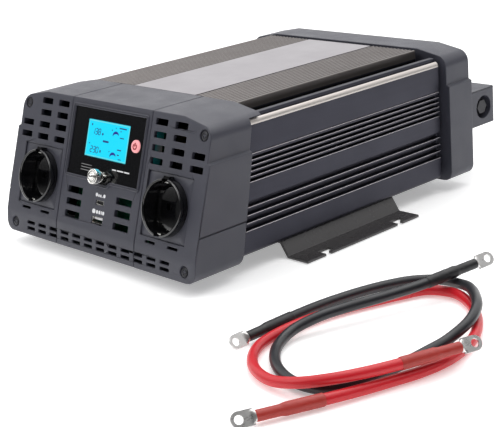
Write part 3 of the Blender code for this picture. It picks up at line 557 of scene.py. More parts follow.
def surroundings(bright, dark):
    """A white dome over the back and left that falls to a dim horizon at the front and right."""
    world = bpy.data.worlds.new("surroundings")
    world.use_nodes = True
    nodes, links = world.node_tree.nodes, world.node_tree.links
    place = nodes.new("ShaderNodeTexCoord")
    facing = nodes.new("ShaderNodeVectorMath")
    facing.operation = "DOT_PRODUCT"
    facing.inputs[1].default_value = (-0.43, 0.41, 1.0)
    fade = nodes.new("ShaderNodeMapRange")
    fade.interpolation_type = "SMOOTHSTEP"
    fade.inputs["From Min"].default_value = 0.20
    fade.inputs["From Max"].default_value = 0.75
    fade.inputs["To Min"].default_value = dark
    fade.inputs["To Max"].default_value = bright
    links.new(place.outputs["Generated"], facing.inputs[0])
    links.new(facing.outputs["Value"], fade.inputs["Value"])
    links.new(fade.outputs["Result"], nodes["Background"].inputs["Strength"])
    nodes["Background"].inputs["Color"].default_value = (1.0, 1.0, 1.0, 1.0)
    return world


class INVERTER_OT_stage(bpy.types.Operator):
    """Camera, floor and soft studio light"""

    bl_idname = "inverter.stage"
    bl_label = "Studio"

    def execute(self, context):
        studio = context.scene.inverter_studio
        yaw, pitch, roll = -0.8227, 0.3122, -0.0793
        ahead = np.array([math.sin(yaw) * math.cos(pitch), math.cos(yaw) * math.cos(pitch),
                          -math.sin(pitch)])
        level = np.array([math.cos(yaw), -math.sin(yaw), 0.0])
        over = np.cross(level, ahead)
        right = math.cos(roll) * level + math.sin(roll) * over
        up = -math.sin(roll) * level + math.cos(roll) * over
        camera = bpy.data.objects.new("camera", bpy.data.cameras.new("camera"))
        camera.data.sensor_width = 36.0
        camera.data.sensor_fit = "HORIZONTAL"
        camera.data.lens = studio.lens
        camera.data.clip_start = 0.05
        turn = Matrix(np.stack([right, up, -ahead], -1).tolist()).to_4x4()
        camera.matrix_world = Matrix.Translation((0.8086, -0.7716, 0.3523)) @ turn
        context.scene.collection.objects.link(camera)
        context.scene.camera = camera

        edge = np.linspace(-4.0, 4.0, 9)
        x, y = np.meshgrid(edge, edge, indexing="ij")
        ground = np.stack([x, y, np.full_like(x, -0.0004)], -1)
        white = finish("white_floor", (0.93, 0.93, 0.93), 0.7, mottle=(3, 0.01))
        lit = white.node_tree.nodes["Principled BSDF"]
        lit.inputs["Emission Color"].default_value = (1.0, 1.0, 1.0, 1.0)
        lit.inputs["Emission Strength"].default_value = studio.floor_light
        mesh = bpy.data.meshes.new("floor")
        mesh.from_pydata(ground.reshape(-1, 3), [], lattice(9, 9).tolist())
        mesh.materials.append(white)
        floor = bpy.data.objects.new("floor", mesh)
        context.scene.collection.objects.link(floor)

        context.scene.world = surroundings(studio.backdrop, studio.horizon)
        context.scene.view_settings.view_transform = "Standard"
        softbox("overhead", (0.05, 0.25, 1.10), (0.0, 0.0, 0.1), (1.2, 0.8), studio.overhead)
        softbox("key", (-0.55, -1.35, 1.05), (0.0, -0.15, 0.06), (0.7, 0.7), studio.key)
        return {"FINISHED"}


# Battery leads --------------------------------------------------------------
BLACK_ROUTE = (
    (0.2119, -0.2018, 0.0054), (0.2115, -0.1812, 0.0050), (0.2117, -0.1606, 0.0044), (0.2143, -0.1401, 0.0042),
    (0.2186, -0.1200, 0.0041), (0.2249, -0.1004, 0.0040), (0.2346, -0.0823, 0.0040), (0.2519, -0.0723, 0.0052),
    (0.2717, -0.0763, 0.0080), (0.2890, -0.0865, 0.0121), (0.3043, -0.1003, 0.0135), (0.3169, -0.1165, 0.0136),
    (0.3238, -0.1354, 0.0111), (0.3220, -0.1550, 0.0054), (0.3211, -0.1756, 0.0043), (0.3205, -0.1962, 0.0041),
    (0.3181, -0.2166, 0.0040), (0.3134, -0.2367, 0.0040), (0.3036, -0.2545, 0.0040), (0.2838, -0.2582, 0.0040),
    (0.2644, -0.2517, 0.0040), (0.2479, -0.2395, 0.0040), (0.2353, -0.2232, 0.0041), (0.2304, -0.2037, 0.0066),
    (0.2355, -0.1842, 0.0105), (0.2421, -0.1647, 0.0120), (0.2500, -0.1458, 0.0132), (0.2561, -0.1261, 0.0136),
    (0.2619, -0.1063, 0.0144), (0.2670, -0.0864, 0.0161))
RED_ROUTE = (
    (0.3096, -0.2806, 0.0050), (0.3177, -0.2614, 0.0049), (0.3245, -0.2417, 0.0044), (0.3306, -0.2218, 0.0041),
    (0.3365, -0.2018, 0.0040), (0.3394, -0.1812, 0.0040), (0.3378, -0.1604, 0.0040), (0.3318, -0.1405, 0.0040),
    (0.3218, -0.1223, 0.0040), (0.3085, -0.1063, 0.0040), (0.2926, -0.0928, 0.0040), (0.2735, -0.0849, 0.0040),
    (0.2549, -0.0911, 0.0040), (0.2452, -0.1094, 0.0040), (0.2376, -0.1288, 0.0040), (0.2303, -0.1484, 0.0040),
    (0.2249, -0.1685, 0.0040), (0.2221, -0.1891, 0.0040), (0.2218, -0.2100, 0.0040), (0.2254, -0.2304, 0.0040),
    (0.2361, -0.2481, 0.0042), (0.2523, -0.2611, 0.0046), (0.2720, -0.2672, 0.0054), (0.2924, -0.2657, 0.0090),
    (0.3099, -0.2555, 0.0123), (0.3223, -0.2389, 0.0136), (0.3309, -0.2199, 0.0138), (0.3376, -0.2002, 0.0137))


def lug_places(end, before):
    """Maps local (along, across, up) to the row frame, beyond a lead's end."""
    along = (end - before) / np.linalg.norm(end - before)
    level = np.cross((0, 0, 1), along)
    level /= np.linalg.norm(level)
    roll = math.radians(55 if along[1] > 0 else -55)
    across = level * math.cos(roll) + np.cross(along, level) * math.sin(roll)
    axes = np.stack([along, across, np.cross(along, across)])
    return lambda points: end + np.asarray(points, float) @ axes


def shrink_sleeve(name, at, finish_made):
    """Shrink tube over the crimp: its radius steps down smoothly from the sheath to the barrel, with soft
    wrinkles that run round it."""
    x = np.linspace(-0.0157, 0.0283, 60)
    step = np.clip((x - 0.0090) / 0.0040, 0, 1)
    step = step * step * (3 - 2 * step)
    radius = 0.0043 - 0.00062 * step
    t = np.linspace(0, math.tau, 32, endpoint=False)
    wrinkle = 0.00005 * np.sin(x[:, None] * 900 + 1.7 * np.sin(2 * t)) * np.sin(3 * t + 1.0)
    r = radius[:, None] + wrinkle
    r[[0, -1]] -= 0.0003
    wall = np.stack([np.repeat(x[:, None], 32, 1), r * np.cos(t), r * np.sin(t)], -1)
    ends = wall[[0, -1]] * (1, 0, 0) + wall[[0, -1]] * (0, 1, 1) * 0.7
    points = at(np.concatenate([ends[:1], wall, ends[1:]]))
    faces = lattice(62, 32, False, True).tolist()
    faces += [list(range(32))[::-1], list(range(61 * 32, 62 * 32))]
    word = name.replace("sleeve_", "")
    slot = "red_rubber" if "red" in word else "black_rubber"
    return piece(name + "_finish", skin(name, points, faces), finish_made, slot=slot,
                 stands_for=(name,))


def ring_lug(name, at):
    """A stamped tab round a hole, rings of points running from the hole's edge to an outline that is a
    circle in front and straight-sided behind; its barrel is a superellipse going from round to flat."""
    t = np.linspace(0, math.tau, 64, endpoint=False)
    hole, palm, thick, centre_x = 0.0028, 0.0052, 0.0008, 0.0390
    c, s = np.cos(t), np.sin(t)
    back = np.minimum(palm / np.maximum(np.abs(s), 0.001), 0.0096 / np.maximum(-c, 0.001))
    reach = np.where(c < 0, back, palm)
    inner = np.stack([centre_x + hole * c, hole * s], -1)
    outer = np.stack([centre_x + reach * c, reach * s], -1)
    rows = [(inner, 0.0, -0.6), (inner, 0.00012, -1), (outer, -0.0002, -1), (outer, 0.0, -0.6),
            (outer, 0.0, 0.6), (outer, -0.0002, 1), (inner, 0.00012, 1), (inner, 0.0, 0.6)]
    made = []
    for outline, grow, level in rows:
        middle = np.array([centre_x, 0.0])
        away = outline - middle
        away *= 1 + grow / np.linalg.norm(away, axis=1)[:, None]
        made.append(np.column_stack([middle + away, np.full(64, level * thick)]))
    ring = np.stack(made)
    faces = lattice(8, 64, True, True).tolist()
    x = np.concatenate([np.linspace(0.0010, 0.0270, 18), np.linspace(0.0276, 0.0318, 8)])
    flat = np.clip((x - 0.0272) / 0.0044, 0, 1)
    flat = flat * flat * (3 - 2 * flat)
    wide = 0.0031 + flat * 0.0018
    high = 0.0031 + flat * (0.00086 - 0.0031)
    power = 1 + flat * 1.2
    shape = (np.abs(c) ** (2 * power[:, None]) + np.abs(s) ** (2 * power[:, None])) \
        ** (-0.5 / power[:, None])
    neck = np.stack([np.repeat(x[:, None], 64, 1), wide[:, None] * shape * c,
                     high[:, None] * shape * s], -1)
    count = ring.reshape(-1, 3).shape[0]
    faces += (lattice(len(x), 64, False, True) + count).tolist()
    faces += [list(range(count, count + 64)),
              list(range(count + (len(x) - 1) * 64, count + len(x) * 64))]
    points = at(np.concatenate([ring.reshape(-1, 3), neck.reshape(-1, 3)]))
    return piece(name + "_finish", skin(name, points, faces), FINISHES["tin"],
                 slot="bright_metal", stands_for=(name,))


class INVERTER_OT_leads(bpy.types.Operator):
    """The black and the red battery lead, with their shrink sleeves and ring lugs"""

    bl_idname = "inverter.leads"
    bl_label = "Battery leads"

    def execute(self, context):
        radius = context.scene.inverter_sizes.lead_radius
        for word, route in (("black", BLACK_ROUTE), ("red", RED_ROUTE)):
            path = smooth_route(route, 240)
            tube = grid_piece(word + "_lead_finish", swept(path, radius), False, True,
                              FINISHES[word + "_cable"], slot=word + "_rubber",
                              stands_for=(word + "_lead",))
            for end, tip, before in (("near", path[0], path[1]), ("far", path[-1], path[-2])):
                at = lug_places(tip, before)
                name = f"{word}_{end}"
                shrink_sleeve("sleeve_" + name, at, FINISHES[word + "_shrink"])
                ring_lug("lug_" + name, at)
        return {"FINISHED"}


# Casing ---------------------------------------------------------------------
def seam_tools(width):
    """Thin cutters that follow the front cap's face, its top and its sides."""
    s, c = math.sin(PANEL_LEAN), math.cos(PANEL_LEAN)
    deep = 0.0005
    face = np.array([(-0.1960, 0.0080), (-0.1938, 0.0290), (-0.1615, 0.1300), (-0.1060, 0.1300),
                     (-0.1060, 0.1270 - deep), (-0.1595 + deep, 0.1270 - deep),
                     (RIDGE_Y + deep * c, RIDGE_Z - deep * s), (-0.1948 + deep, 0.0080)])
    made = []
    for x in (-0.0503, 0.0503):
        points, faces = prisms([face], x - width / 2, x + width / 2)
        made.append(carver("strip_seam", points[:, [2, 0, 1]], faces))
    for side in (-1, 1):
        band = rounded(-0.21, -0.10, 0.0442, 0.0442 + width, width * 0.4, 1)
        points, faces = prisms([band], side * 0.1210, side * 0.1240)
        made.append(carver("side_seam", points[:, [2, 0, 1]], faces))
    return made


class INVERTER_OT_casing(bpy.types.Operator):
    """Front and rear end caps with rounded edges and moulded seams"""

    bl_idname = "inverter.casing"
    bl_label = "End caps"

    def execute(self, context):
        sizes = context.scene.inverter_sizes
        finished_node("front_cap", sizes.edge, FINISHES["case"], "case_plastic",
                      carved=seam_tools(sizes.seam_width))
        finished_node("rear_cap", sizes.edge, FINISHES["case"], "case_plastic")
        return {"FINISHED"}


class INVERTER_OT_body(bpy.types.Operator):
    """Upper and lower finned shells and the satin plate on top"""

    bl_idname = "inverter.body"
    bl_label = "Aluminium body"

    def execute(self, context):
        finished_node("upper_shell", 0.0004, FINISHES["body"], "anodised_body")
        finished_node("lower_shell", 0.0004, FINISHES["body"], "anodised_body")
        finished_node("top_plate", 0.0002, FINISHES["plate"], "satin_plate")
        return {"FINISHED"}


# Display --------------------------------------------------------------------
SEGMENTS = {"0": "abcdef", "1": "bc", "2": "abdeg", "3": "abcdg", "8": "abcdefg", ".": ""}


def number_outlines(text, left, base, height):
    """Seven-segment numbers: each lit segment is a six-sided bar, leaning by a tenth of its height."""
    wide, thick = height * 0.54, height * 0.14
    bar = np.array([(-0.5, 0), (-0.42, 0.5), (0.42, 0.5), (0.5, 0), (0.42, -0.5), (-0.42, -0.5)])
    flat = bar * (wide * 0.86, thick)
    tall = bar[:, ::-1] * (thick, height * 0.44)
    spots = {"a": (0.5, 1.0, flat), "d": (0.5, 0.0, flat), "g": (0.5, 0.5, flat),
             "f": (0.0, 0.75, tall), "b": (1.0, 0.75, tall), "e": (0.0, 0.25, tall),
             "c": (1.0, 0.25, tall)}
    made, at = [], left
    for letter in text:
        if letter == ".":
            dot = bar * (thick * 1.2, thick * 1.2) + (at - wide * 0.15, base)
            made.append(dot)
            continue
        for key in SEGMENTS[letter]:
            across, level, shape = spots[key]
            made.append(shape + (at + across * wide, base + level * height))
        at += wide * 1.45
    made = np.array(made)
    made[..., 0] += (made[..., 1] - base) * 0.10
    return made


def crescent(u, v, size):
    """An arched mark: outer arc of radius size and an inner arc that narrows towards its ends."""
    t = np.linspace(math.radians(5), math.radians(200), 14)
    outer = np.stack([np.cos(t), 0.85 * np.sin(t)], -1) * size
    inner = np.stack([np.cos(t), 0.8 * np.sin(t)], -1) * (size * (1 - 0.68 * np.sin(t * 0.88)))[:, None]
    return np.concatenate([outer, inner[::-1]]) + (u, v)


def bars(*items):
    """Plain round-ended bars, each given as (left, low, width, height)."""
    return np.stack([rounded(u, u + w, v, v + h, min(w, h) * 0.45, 3) for u, v, w, h in items])


def raised(name, outlines, low, high, finish_made, slot, body="root"):
    points, faces = prisms(outlines, low, high)
    return piece(name, skin(name, on_panel(points), faces), finish_made, body, slot)


class INVERTER_OT_display(bpy.types.Operator):
    """Display window with its bezel, backlit screen, numbers, printed marks and lit button"""

    bl_idname = "inverter.display"
    bl_label = "Display"

    def execute(self, context):
        sizes = context.scene.inverter_sizes
        f = FINISHES
        corners = [(-0.0464, 0.0406), (-0.0105, 0.0406), (-0.0075, 0.0372), (0.0085, 0.0372),
                   (0.0115, 0.0406), (0.0461, 0.0406), (0.0461, 0.0982), (-0.0464, 0.0982)]
        path = softened_corners(corners, (0.0016, 0.0020, 0.0020, 0.0020, 0.0020, 0.0016, 0.0016, 0.0016))
        w, h = sizes.bezel_width / 2, sizes.bezel_height
        profile = [(-w, -0.0010), (-w, h * 0.45), (-w * 0.80, h * 0.75), (-w * 0.42, h * 0.75),
                   (-w * 0.28, h * 0.36), (w * 0.05, h * 0.36), (w * 0.22, h * 0.92), (w * 0.45, h),
                   (w * 0.72, h * 0.92), (w * 0.94, h * 0.35), (w, 0.0), (w, -0.0010)]
        grid_piece("display_bezel", on_panel(moulding(path, profile)), True, True, f["case"], 60.0,
                   slot="case_plastic")
        finished_node("display_window", 0.00015, f["pane"], "gloss_black")
        seat = softened_corners([(-0.0452, 0.0412), (-0.0090, 0.0412), (-0.0066, 0.0382), (0.0076, 0.0382),
                                 (0.0100, 0.0412), (0.0449, 0.0412), (0.0449, 0.0456), (-0.0452, 0.0456)],
                                0.0012)
        raised("display_sill", [seat], -0.0006, 0.0002, f["pane"], "gloss_black")
        low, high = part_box("lcd_module")
        u0, u1 = low[0], high[0]
        middle = panel_centre("lcd_module")[1] + 0.0024 * 0.0
        v1, v0 = middle + 0.0147, middle - 0.0147
        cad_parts["lcd_module"].data.materials.clear()
        finished_node("lcd_module", 0.0001, f["lcd"], "lcd")
        rim = moulding(rounded(u0 + 0.0006, u1 - 0.0006, v0 + 0.0006, v1 - 0.0006, 0.0002, 2),
                       [(-0.0004, -0.0008), (-0.0004, -0.00062), (0.0004, -0.00062), (0.0004, -0.0008)])
        grid_piece("lcd_rim", on_panel(rim), True, True, f["lcd_edge"], slot="lcd")
        tall = sizes.digit_height
        digits = np.concatenate([
            number_outlines("138", u0 + 0.0062, v1 - 0.0066 - tall, tall),
            number_outlines("230", u0 + 0.0060, v1 - 0.0212 - tall, tall)])
        raised("lcd_numbers", digits, -0.0008, -0.00060, f["digits"], "lcd")
        arches = np.stack([crescent(u0 + 0.0357, v1 - 0.0092, 0.0037),
                           crescent(u0 + 0.0353, v1 - 0.0259, 0.0037)])
        raised("lcd_arches", arches, -0.0008, -0.00058, f["icon"], "lcd")
        marks = bars((u0 + 0.0392, v1 - 0.0036, 0.0090, 0.0010), (u0 + 0.0412, v1 - 0.0110, 0.0052, 0.0008),
                     (u0 + 0.0207, v1 - 0.0164, 0.0074, 0.0016), (u0 + 0.0397, v1 - 0.0206, 0.0052, 0.0009),
                     (u0 + 0.0185, v1 - 0.0112, 0.0018, 0.0020), (u0 + 0.0042, v1 - 0.0048, 0.0012, 0.0018),
                     (u0 + 0.0036, v1 - 0.0196, 0.0012, 0.0010), (u0 + 0.0405, v1 - 0.0246, 0.0024, 0.0010),
                     (u0 + 0.0183, v1 - 0.0252, 0.0015, 0.0022), (u0 + 0.0424, v1 - 0.0277, 0.0036, 0.0007),
                     (u0 + 0.0300, v1 - 0.0062, 0.0012, 0.0010), (u0 + 0.0345, v1 - 0.0040, 0.0010, 0.0010),
                     (u0 + 0.0410, v1 - 0.0060, 0.0011, 0.0010), (u0 + 0.0297, v1 - 0.0232, 0.0010, 0.0010))
        raised("lcd_marks", marks, -0.0008, -0.00060, f["digits"], "lcd")
        raised("panel_lines", bars((-0.0285, 0.0512, 0.0135, 0.0006), (-0.0285, 0.0490, 0.0135, 0.0006),
                                   (-0.0285, 0.0468, 0.0135, 0.0006)), -0.0006, -0.00032,
               f["grey_print"], "gloss_black")
        words = [(0.0110, 0.0516, 0.0052, 0.0010), (0.0171, 0.0516, 0.0078, 0.0010),
                 (0.0258, 0.0516, 0.0066, 0.0010)]
        raised("panel_words", bars(*words), -0.0006, -0.00032, f["print"], "gloss_black")
        raised("usb_words", bars((-0.0042, 0.0285, 0.0028, 0.0030), (-0.0010, 0.0285, 0.0020, 0.0022),
                                 (0.0014, 0.0285, 0.0018, 0.0022), (0.0036, 0.0285, 0.0012, 0.0007),
                                 (0.0054, 0.0285, 0.0028, 0.0030), (-0.0058, 0.0148, 0.0042, 0.0036),
                                 (-0.0008, 0.0150, 0.0026, 0.0030), (0.0024, 0.0150, 0.0024, 0.0030),
                                 (0.0056, 0.0150, 0.0010, 0.0030), (0.0072, 0.0150, 0.0024, 0.0030)),
               -0.0002, 0.00006, f["print"], "case_plastic")
        bu, bv = panel_centre("power_button")
        bv = bv + 0.0
        cap = turned([(0, 0.0007), (0.0030, 0.00066), (0.0044, 0.0005), (0.0049, 0.0002), (0.0050, -0.0004),
                      (0.0050, -0.0054), (0, -0.0054)], 72)
        cap[..., 0] += bu
        cap[..., 1] += bv
        grid_piece("power_button_finish", on_panel(cap), False, True, f["glow"], body="button",
                   slot="button_glow", stands_for=("power_button",))
        t = np.linspace(math.radians(125), math.radians(415), 40)
        ring = np.concatenate([np.stack([np.cos(t), np.sin(t)], -1) * 0.0025,
                               np.stack([np.cos(t), np.sin(t)], -1)[::-1] * 0.0015])
        ring = ring + (bu, bv - 0.0003)
        mark_points, mark_faces = prisms([ring], 0.0005, 0.00082)
        stem_points, stem_faces = prisms([rounded(bu - 0.0006, bu + 0.0006, bv - 0.0002, bv + 0.0028,
                                                  0.0004, 3)], 0.0005, 0.00082)
        faces = mark_faces + [[i + len(mark_points) for i in face] for face in stem_faces]
        points = on_panel(np.concatenate([mark_points, stem_points]))
        piece("button_symbol", skin("button_symbol", points, faces), f["symbol"], "button", "button_glow")
        return {"FINISHED"}


class INVERTER_OT_earth(bpy.types.Operator):
    """Earth stud, washer and knurled thumb nut below the display"""

    bl_idname = "inverter.earth"
    bl_label = "Earth terminal"

    def execute(self, context):
        count = context.scene.inverter_sizes.knurls
        u, v = panel_centre("earth_stud")
        v = EARTH_V

        def placed(points):
            points = points.copy()
            points[..., 0] += u
            points[..., 1] += v
            return on_panel(points)

        def knurled(r, h, t):
            cut = np.clip((h - 0.0063) / 0.0004, 0, 1) * np.clip((0.0101 - h) / 0.0004, 0, 1)
            return r - 0.00022 * cut * (0.5 + 0.5 * np.cos(count * t)) * (r > 0.0055)

        body = [(0.0024, 0.0036), (0.0038, 0.0036), (0.0040, 0.0038), (0.0040, 0.0055), (0.0058, 0.0060),
                (0.0062, 0.0063), (0.0062, 0.0070), (0.0062, 0.0080), (0.0062, 0.0090), (0.0062, 0.0099),
                (0.0059, 0.0103), (0.0053, 0.0104), (0.0050, 0.0102), (0.0044, 0.0102), (0.0041, 0.0105),
                (0.0033, 0.0105), (0.0030, 0.0103), (0.0024, 0.0106)]
        grid_piece("earth_nut_finish", placed(turned(body, 144, knurled)), True, True,
                   FINISHES["nickel"], 35.0, body="earth_nut", slot="bright_metal",
                   stands_for=("earth_nut",))
        pitch = 0.0008
        heights = np.arange(-0.0008, 0.0122, pitch / 4)
        thread = [(0.00205 + 0.00014 * math.cos(math.tau * z / pitch), z) for z in heights[::-1]]
        stud = [(0, 0.0128), (0.0015, 0.0128), (0.0019, 0.0125)] + thread + [
            (0.0040, -0.0010), (0.0040, -0.0160), (0, -0.0160)]
        grid_piece("earth_stud_finish", placed(turned(stud, 48)), False, True, FINISHES["nickel"],
                   slot="bright_metal", stands_for=("earth_stud",))
        finished_node("earth_washer", 0.0002, FINISHES["nickel"], "bright_metal", "earth_washer")
        return {"FINISHED"}


EARTH_V = 0.0445
SOCKET_V, SOCKET_PROUD, WELL_DEPTH = 0.0331, 0.0060, 0.0172
PIN_PITCH, PIN_HOLE = 0.0190, 0.0028


# Sockets and ports ----------------------------------------------------------
def surround(name, u):
    """A thin plate in the square recess: P(i, t) runs from the socket's circle out to a rounded square,
    whose radius at t is half / (|cos t|^n + |sin t|^n)^(1/n) with n = 26."""
    t = np.linspace(0, math.tau, 160, endpoint=False)
    circle = np.full_like(t, 0.02245)
    square = 0.0252 / (np.abs(np.cos(t)) ** 26 + np.abs(np.sin(t)) ** 26) ** (1 / 26)
    rings = [(circle, -0.0027), (circle, -0.0013), (circle + 0.0003, -0.0010), (square - 0.0004, -0.0010),
             (square, -0.0013), (square, -0.0027)]
    plate = np.stack([np.stack([u + r * np.cos(t), SOCKET_V + 0.0007 * (r > 0.0225) + r * np.sin(t),
                                np.full_like(t, h)], -1) for r, h in rings])
    grid_piece(name, on_panel(plate), True, True, FINISHES["case"], 50.0, slot="case_plastic")
    wedge = np.array([[(u - 0.0034, SOCKET_V + 0.0219), (u + 0.0034, SOCKET_V + 0.0219),
                       (u + 0.0026, SOCKET_V + 0.0243), (u - 0.0026, SOCKET_V + 0.0243)]])
    raised(name.replace("surround", "key"), wedge, -0.0012, 0.0046, FINISHES["gloss"], "gloss_black")


class INVERTER_OT_sockets(bpy.types.Operator):
    """Two round mains sockets with key notches, pin holes and earth clips"""

    bl_idname = "inverter.sockets"
    bl_label = "Mains sockets"

    def execute(self, context):
        floor = SOCKET_PROUD - WELL_DEPTH
        for _, word in SIDES:
            u = panel_centre("socket_" + word)[0]
            body = [(0, floor - 0.0034), (0.0222, floor - 0.0034), (0.0223, floor - 0.003),
                    (0.0223, 0.0030), (0.0223, 0.0052), (0.0221, 0.0057), (0.0217, 0.0060),
                    (0.0207, 0.0060), (0.0203, 0.0056), (0.0201, 0.0040), (0.0200, floor + 0.0008),
                    (0.0196, floor), (0.0120, floor), (0, floor)]
            points = turned(body, 160)
            points[..., 0] += u
            points[..., 1] += SOCKET_V
            made = grid_piece(f"socket_{word}_finish", on_panel(points), False, True, FINISHES["gloss"],
                              slot="gloss_black", stands_for=("socket_" + word,))
            t = np.linspace(0, math.tau, 32, endpoint=False)
            hole = np.stack([np.cos(t), np.sin(t)], -1) * PIN_HOLE
            holes = np.stack([hole + (u + side * PIN_PITCH / 2, SOCKET_V) for side in (-1, 1)])
            points, faces = prisms(holes, floor - 0.006, floor + 0.004)
            tools = [carver("pin_holes", on_panel(points), faces)]
            for side in (-1, 1):
                v = SOCKET_V + side * 0.0206
                slot = rounded(u - 0.0032, u + 0.0032, v - 0.0025, v + 0.0025, 0.0005, 3)
                points, faces = prisms([slot], SOCKET_PROUD - 0.0172, SOCKET_PROUD + 0.0025)
                tools.append(carver("key_notch", on_panel(points), faces))
            carve(made, tools)
            made.data.set_sharp_from_angle(angle=math.radians(40))
            surround(f"socket_surround_{word}", u)
            for end in ("low", "top"):
                finished_node(f"earth_clip_{word}_{end}", 0.0003, FINISHES["nickel"], "bright_metal")
        return {"FINISHED"}


class INVERTER_OT_ports(bpy.types.Operator):
    """Two charging ports: their metal shells, tongues and contacts"""

    bl_idname = "inverter.ports"
    bl_label = "Charging ports"

    def execute(self, context):
        finished_node("usb_a_port", 0.0002, FINISHES["nickel"], "bright_metal")
        finished_node("usb_c_port", 0.0001, FINISHES["nickel"], "bright_metal")
        raised("usb_a_tongue", [rounded(-0.0040, 0.0070, 0.0104, 0.0119, 0.0003, 2)], -0.0130, -0.0022,
               FINISHES["print"], "black_plastic")
        pads = bars(*((-0.0026 + 0.0024 * i, 0.01025, 0.0010, 0.0003) for i in range(4)))
        raised("usb_a_contacts", pads, -0.0120, -0.0030, FINISHES["brass"], "brass")
        raised("usb_c_tongue", [rounded(-0.0013, 0.0051, 0.0237, 0.0243, 0.0002, 2)], -0.0085, -0.0014,
               FINISHES["plastic"], "black_plastic")
        return {"FINISHED"}


# Screws ---------------------------------------------------------------------
def screw_head(radius, rise):
    """A domed head with a cross recess: h = rise (1 - (r/R)^2)^0.5 less the cross, over a short skirt."""
    r = np.concatenate([np.linspace(0, 0.96, 15), [1.0, 1.0, 0.0]])
    t = np.linspace(0, math.tau, 64, endpoint=False)
    rr, tt = np.meshgrid(r, t, indexing="ij")
    x, y = rr * np.cos(tt), rr * np.sin(tt)
    h = rise * np.sqrt(np.clip(1 - (rr * 0.93) ** 2, 0, 1))
    near = np.minimum(np.abs(x), np.abs(y))
    arm = np.clip((0.17 - near) / 0.06, 0, 1) * np.clip((0.66 - rr) / 0.08, 0, 1)
    h = h - arm * rise * (1.25 - rr)
    h[-2], h[-1] = -rise * 0.8, -rise * 0.8
    return np.stack([x * radius, y * radius, h], -1)


class INVERTER_OT_screws(bpy.types.Operator):
    """Cross-head screws of both end caps"""

    bl_idname = "inverter.screws"
    bl_label = "Cap screws"

    def execute(self, context):
        faces = lattice(18, 64, False, True)
        front, rear = [], []
        for side in (-1, 1):
            for v, depth, u in ((0.0921, -0.0011, 0.1103), (-0.0100, -0.0028, 0.1088)):
                head = screw_head(0.0034, 0.0010) + (side * u, v, depth)
                front.append(on_panel(head).reshape(-1, 3))
            for z in (0.0215, 0.1120):
                head = screw_head(0.0031, 0.0013)
                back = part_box("rear_cap")[1][1]
                rear.append(np.stack([side * 0.1065 + head[..., 0], back + head[..., 2],
                                      z - head[..., 1]], -1).reshape(-1, 3))
        for name, heads in (("front_cap_screws", front), ("rear_cap_screws", rear)):
            size = len(heads[0])
            every = np.concatenate([faces + i * size for i in range(len(heads))]).tolist()
            piece(name, skin(name, np.concatenate(heads), every), FINISHES["steel"], slot="bright_metal")
        return {"FINISHED"}


# Terminals, brackets, fans --------------------------------------------------
class INVERTER_OT_terminals(bpy.types.Operator):
    """Battery terminal blocks with their clamping bolts, washers and bus bars"""

    bl_idname = "inverter.terminals"
    bl_label = "Battery terminals"

    def execute(self, context):
        for _, word in SIDES:
            block = finished_node("terminal_" + word, 0.0005, FINISHES["case"], "case_plastic")
            round_corners(block, 0.0036)
            finished_node("terminal_bolt_" + word, 0.0004, FINISHES["steel"], "bright_metal",
                          "terminal_bolt_" + word)
            finished_node("bolt_washer_" + word, 0.0002, FINISHES["nickel"], "bright_metal",
                          "bolt_washer_" + word)
            finished_node("bus_bar_" + word, 0.0003, FINISHES["copper"], "copper")
        return {"FINISHED"}


class INVERTER_OT_brackets(bpy.types.Operator):
    """Folded steel mounting brackets with open slots"""

    bl_idname = "inverter.brackets"
    bl_label = "Brackets"

    def execute(self, context):
        for _, word in SIDES:
            finished_node("bracket_" + word, 0.0005, FINISHES["bracket"], "painted_steel", segments=3)
        return {"FINISHED"}


def fan_blade(phase, inner, outer, chord, twist):
    """P(s, q): a point at radius s along the blade and share q of its chord, pitched by a twist that
    falls with radius, given a thickness of a sine over q."""
    s = np.linspace(0, 1, 8)[:, None]
    q = np.linspace(0, 1, 9)[None, :]
    radius = inner + (outer - inner) * s
    pitch = np.radians(twist - 16 * s)
    along = (q - 0.5) * chord * (0.85 + 0.3 * s)
    angle = phase + along * np.cos(pitch) / radius + 0.25 * s
    height = along * np.sin(pitch) + 0.0010 * np.sin(math.pi * q)
    top = np.stack([radius * np.cos(angle), radius * np.sin(angle), height + 0.0004 * np.sin(math.pi * q)
                    + 0.0002 + 0 * s], -1)
    under = top - (0, 0, 0.0007)
    return np.concatenate([top, under[:, ::-1]], 1)


class INVERTER_OT_fans(bpy.types.Operator):
    """Fan frames, and rotors with seven twisted blades"""

    bl_idname = "inverter.fans"
    bl_label = "Fans"

    def execute(self, context):
        for _, word in SIDES:
            finished_node("fan_frame_" + word, 0.0003, FINISHES["plastic"], "black_plastic")
            x, y, z = centre("fan_rotor_" + word)
            points, faces, count = [], [], 0
            for i in range(7):
                blade = fan_blade(math.tau * i / 7, 0.0098, 0.0262, 0.0135, 42)
                quads = lattice(8, 18, False, True)
                points.append(blade.reshape(-1, 3))
                faces += (quads + count).tolist()
                faces += [list(range(count, count + 18)), list(range(count + 126, count + 144))]
                count += 144
            hub = turned([(0, 0.0064), (0.0085, 0.0064), (0.0098, 0.0058), (0.0104, 0.0044),
                          (0.0105, -0.0060), (0.0101, -0.0064), (0, -0.0064)], 64)
            points.append(hub.reshape(-1, 3))
            faces += (lattice(7, 64, False, True) + count).tolist()
            local = np.concatenate(points)
            world = np.stack([x + local[:, 0], y + local[:, 2], z - local[:, 1]], -1)
            piece(f"fan_rotor_{word}_finish", skin("fan_rotor", world, faces), FINISHES["plastic"],
                  "fan_rotor_" + word, "black_plastic", ("fan_rotor_" + word,))
        return {"FINISHED"}


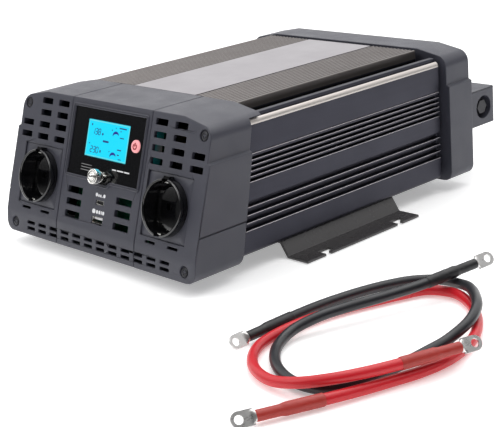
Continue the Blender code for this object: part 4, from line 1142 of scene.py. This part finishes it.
class INVERTER_OT_inside(bpy.types.Operator):
    """Finishes of the boards, transformers, capacitors and other pieces inside"""

    bl_idname = "inverter.inside"
    bl_label = "Inner pieces"

    def execute(self, context):
        wanted = {"board": ("main_board", "front_board"), "winding": ("transformer_",),
                  "plastic": ("capacitor_bank", "power_transistors_", "shutter_"),
                  "bare": ("cooling_bar_",), "brass": ("contact_",), "copper": ("filter_choke",)}
        for key, starts in wanted.items():
            for name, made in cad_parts.items():
                if name.startswith(starts):
                    made.data.materials.clear()
                    made.data.materials.append(FINISHES[key])
        return {"FINISHED"}


class INVERTER_PT_panel(bpy.types.Panel):
    bl_label = "Power inverter"
    bl_idname = "INVERTER_PT_panel"
    bl_space_type = "VIEW_3D"
    bl_region_type = "UI"
    bl_category = "Inverter"

    def draw(self, context):
        for group in (context.scene.inverter_sizes, context.scene.inverter_colours,
                      context.scene.inverter_studio):
            for name in group.__annotations__:
                self.layout.prop(group, name)
        for operator in OPERATORS:
            self.layout.operator(operator.bl_idname)


OPERATORS = (
    INVERTER_OT_stage, INVERTER_OT_leads, INVERTER_OT_casing, INVERTER_OT_body, INVERTER_OT_display,
    INVERTER_OT_earth, INVERTER_OT_sockets, INVERTER_OT_ports, INVERTER_OT_screws,
    INVERTER_OT_terminals, INVERTER_OT_brackets, INVERTER_OT_fans, INVERTER_OT_inside)
GROUPS = (InverterSizes, InverterColours, InverterStudio)


def register():
    for made in (*GROUPS, *OPERATORS, INVERTER_PT_panel):
        bpy.utils.register_class(made)
    bpy.types.Scene.inverter_sizes = PointerProperty(type=InverterSizes)
    bpy.types.Scene.inverter_colours = PointerProperty(type=InverterColours)
    bpy.types.Scene.inverter_studio = PointerProperty(type=InverterStudio)


def unregister():
    del bpy.types.Scene.inverter_studio
    del bpy.types.Scene.inverter_colours
    del bpy.types.Scene.inverter_sizes
    for made in (INVERTER_PT_panel, *reversed(OPERATORS), *reversed(GROUPS)):
        bpy.utils.unregister_class(made)


def main():
    register()
    FINISHES.update(make_finishes(bpy.context.scene.inverter_colours))
    for operator in OPERATORS:
        getattr(bpy.ops.inverter, operator.bl_idname.split(".")[1])()


if __name__ == "__main__":
    main()
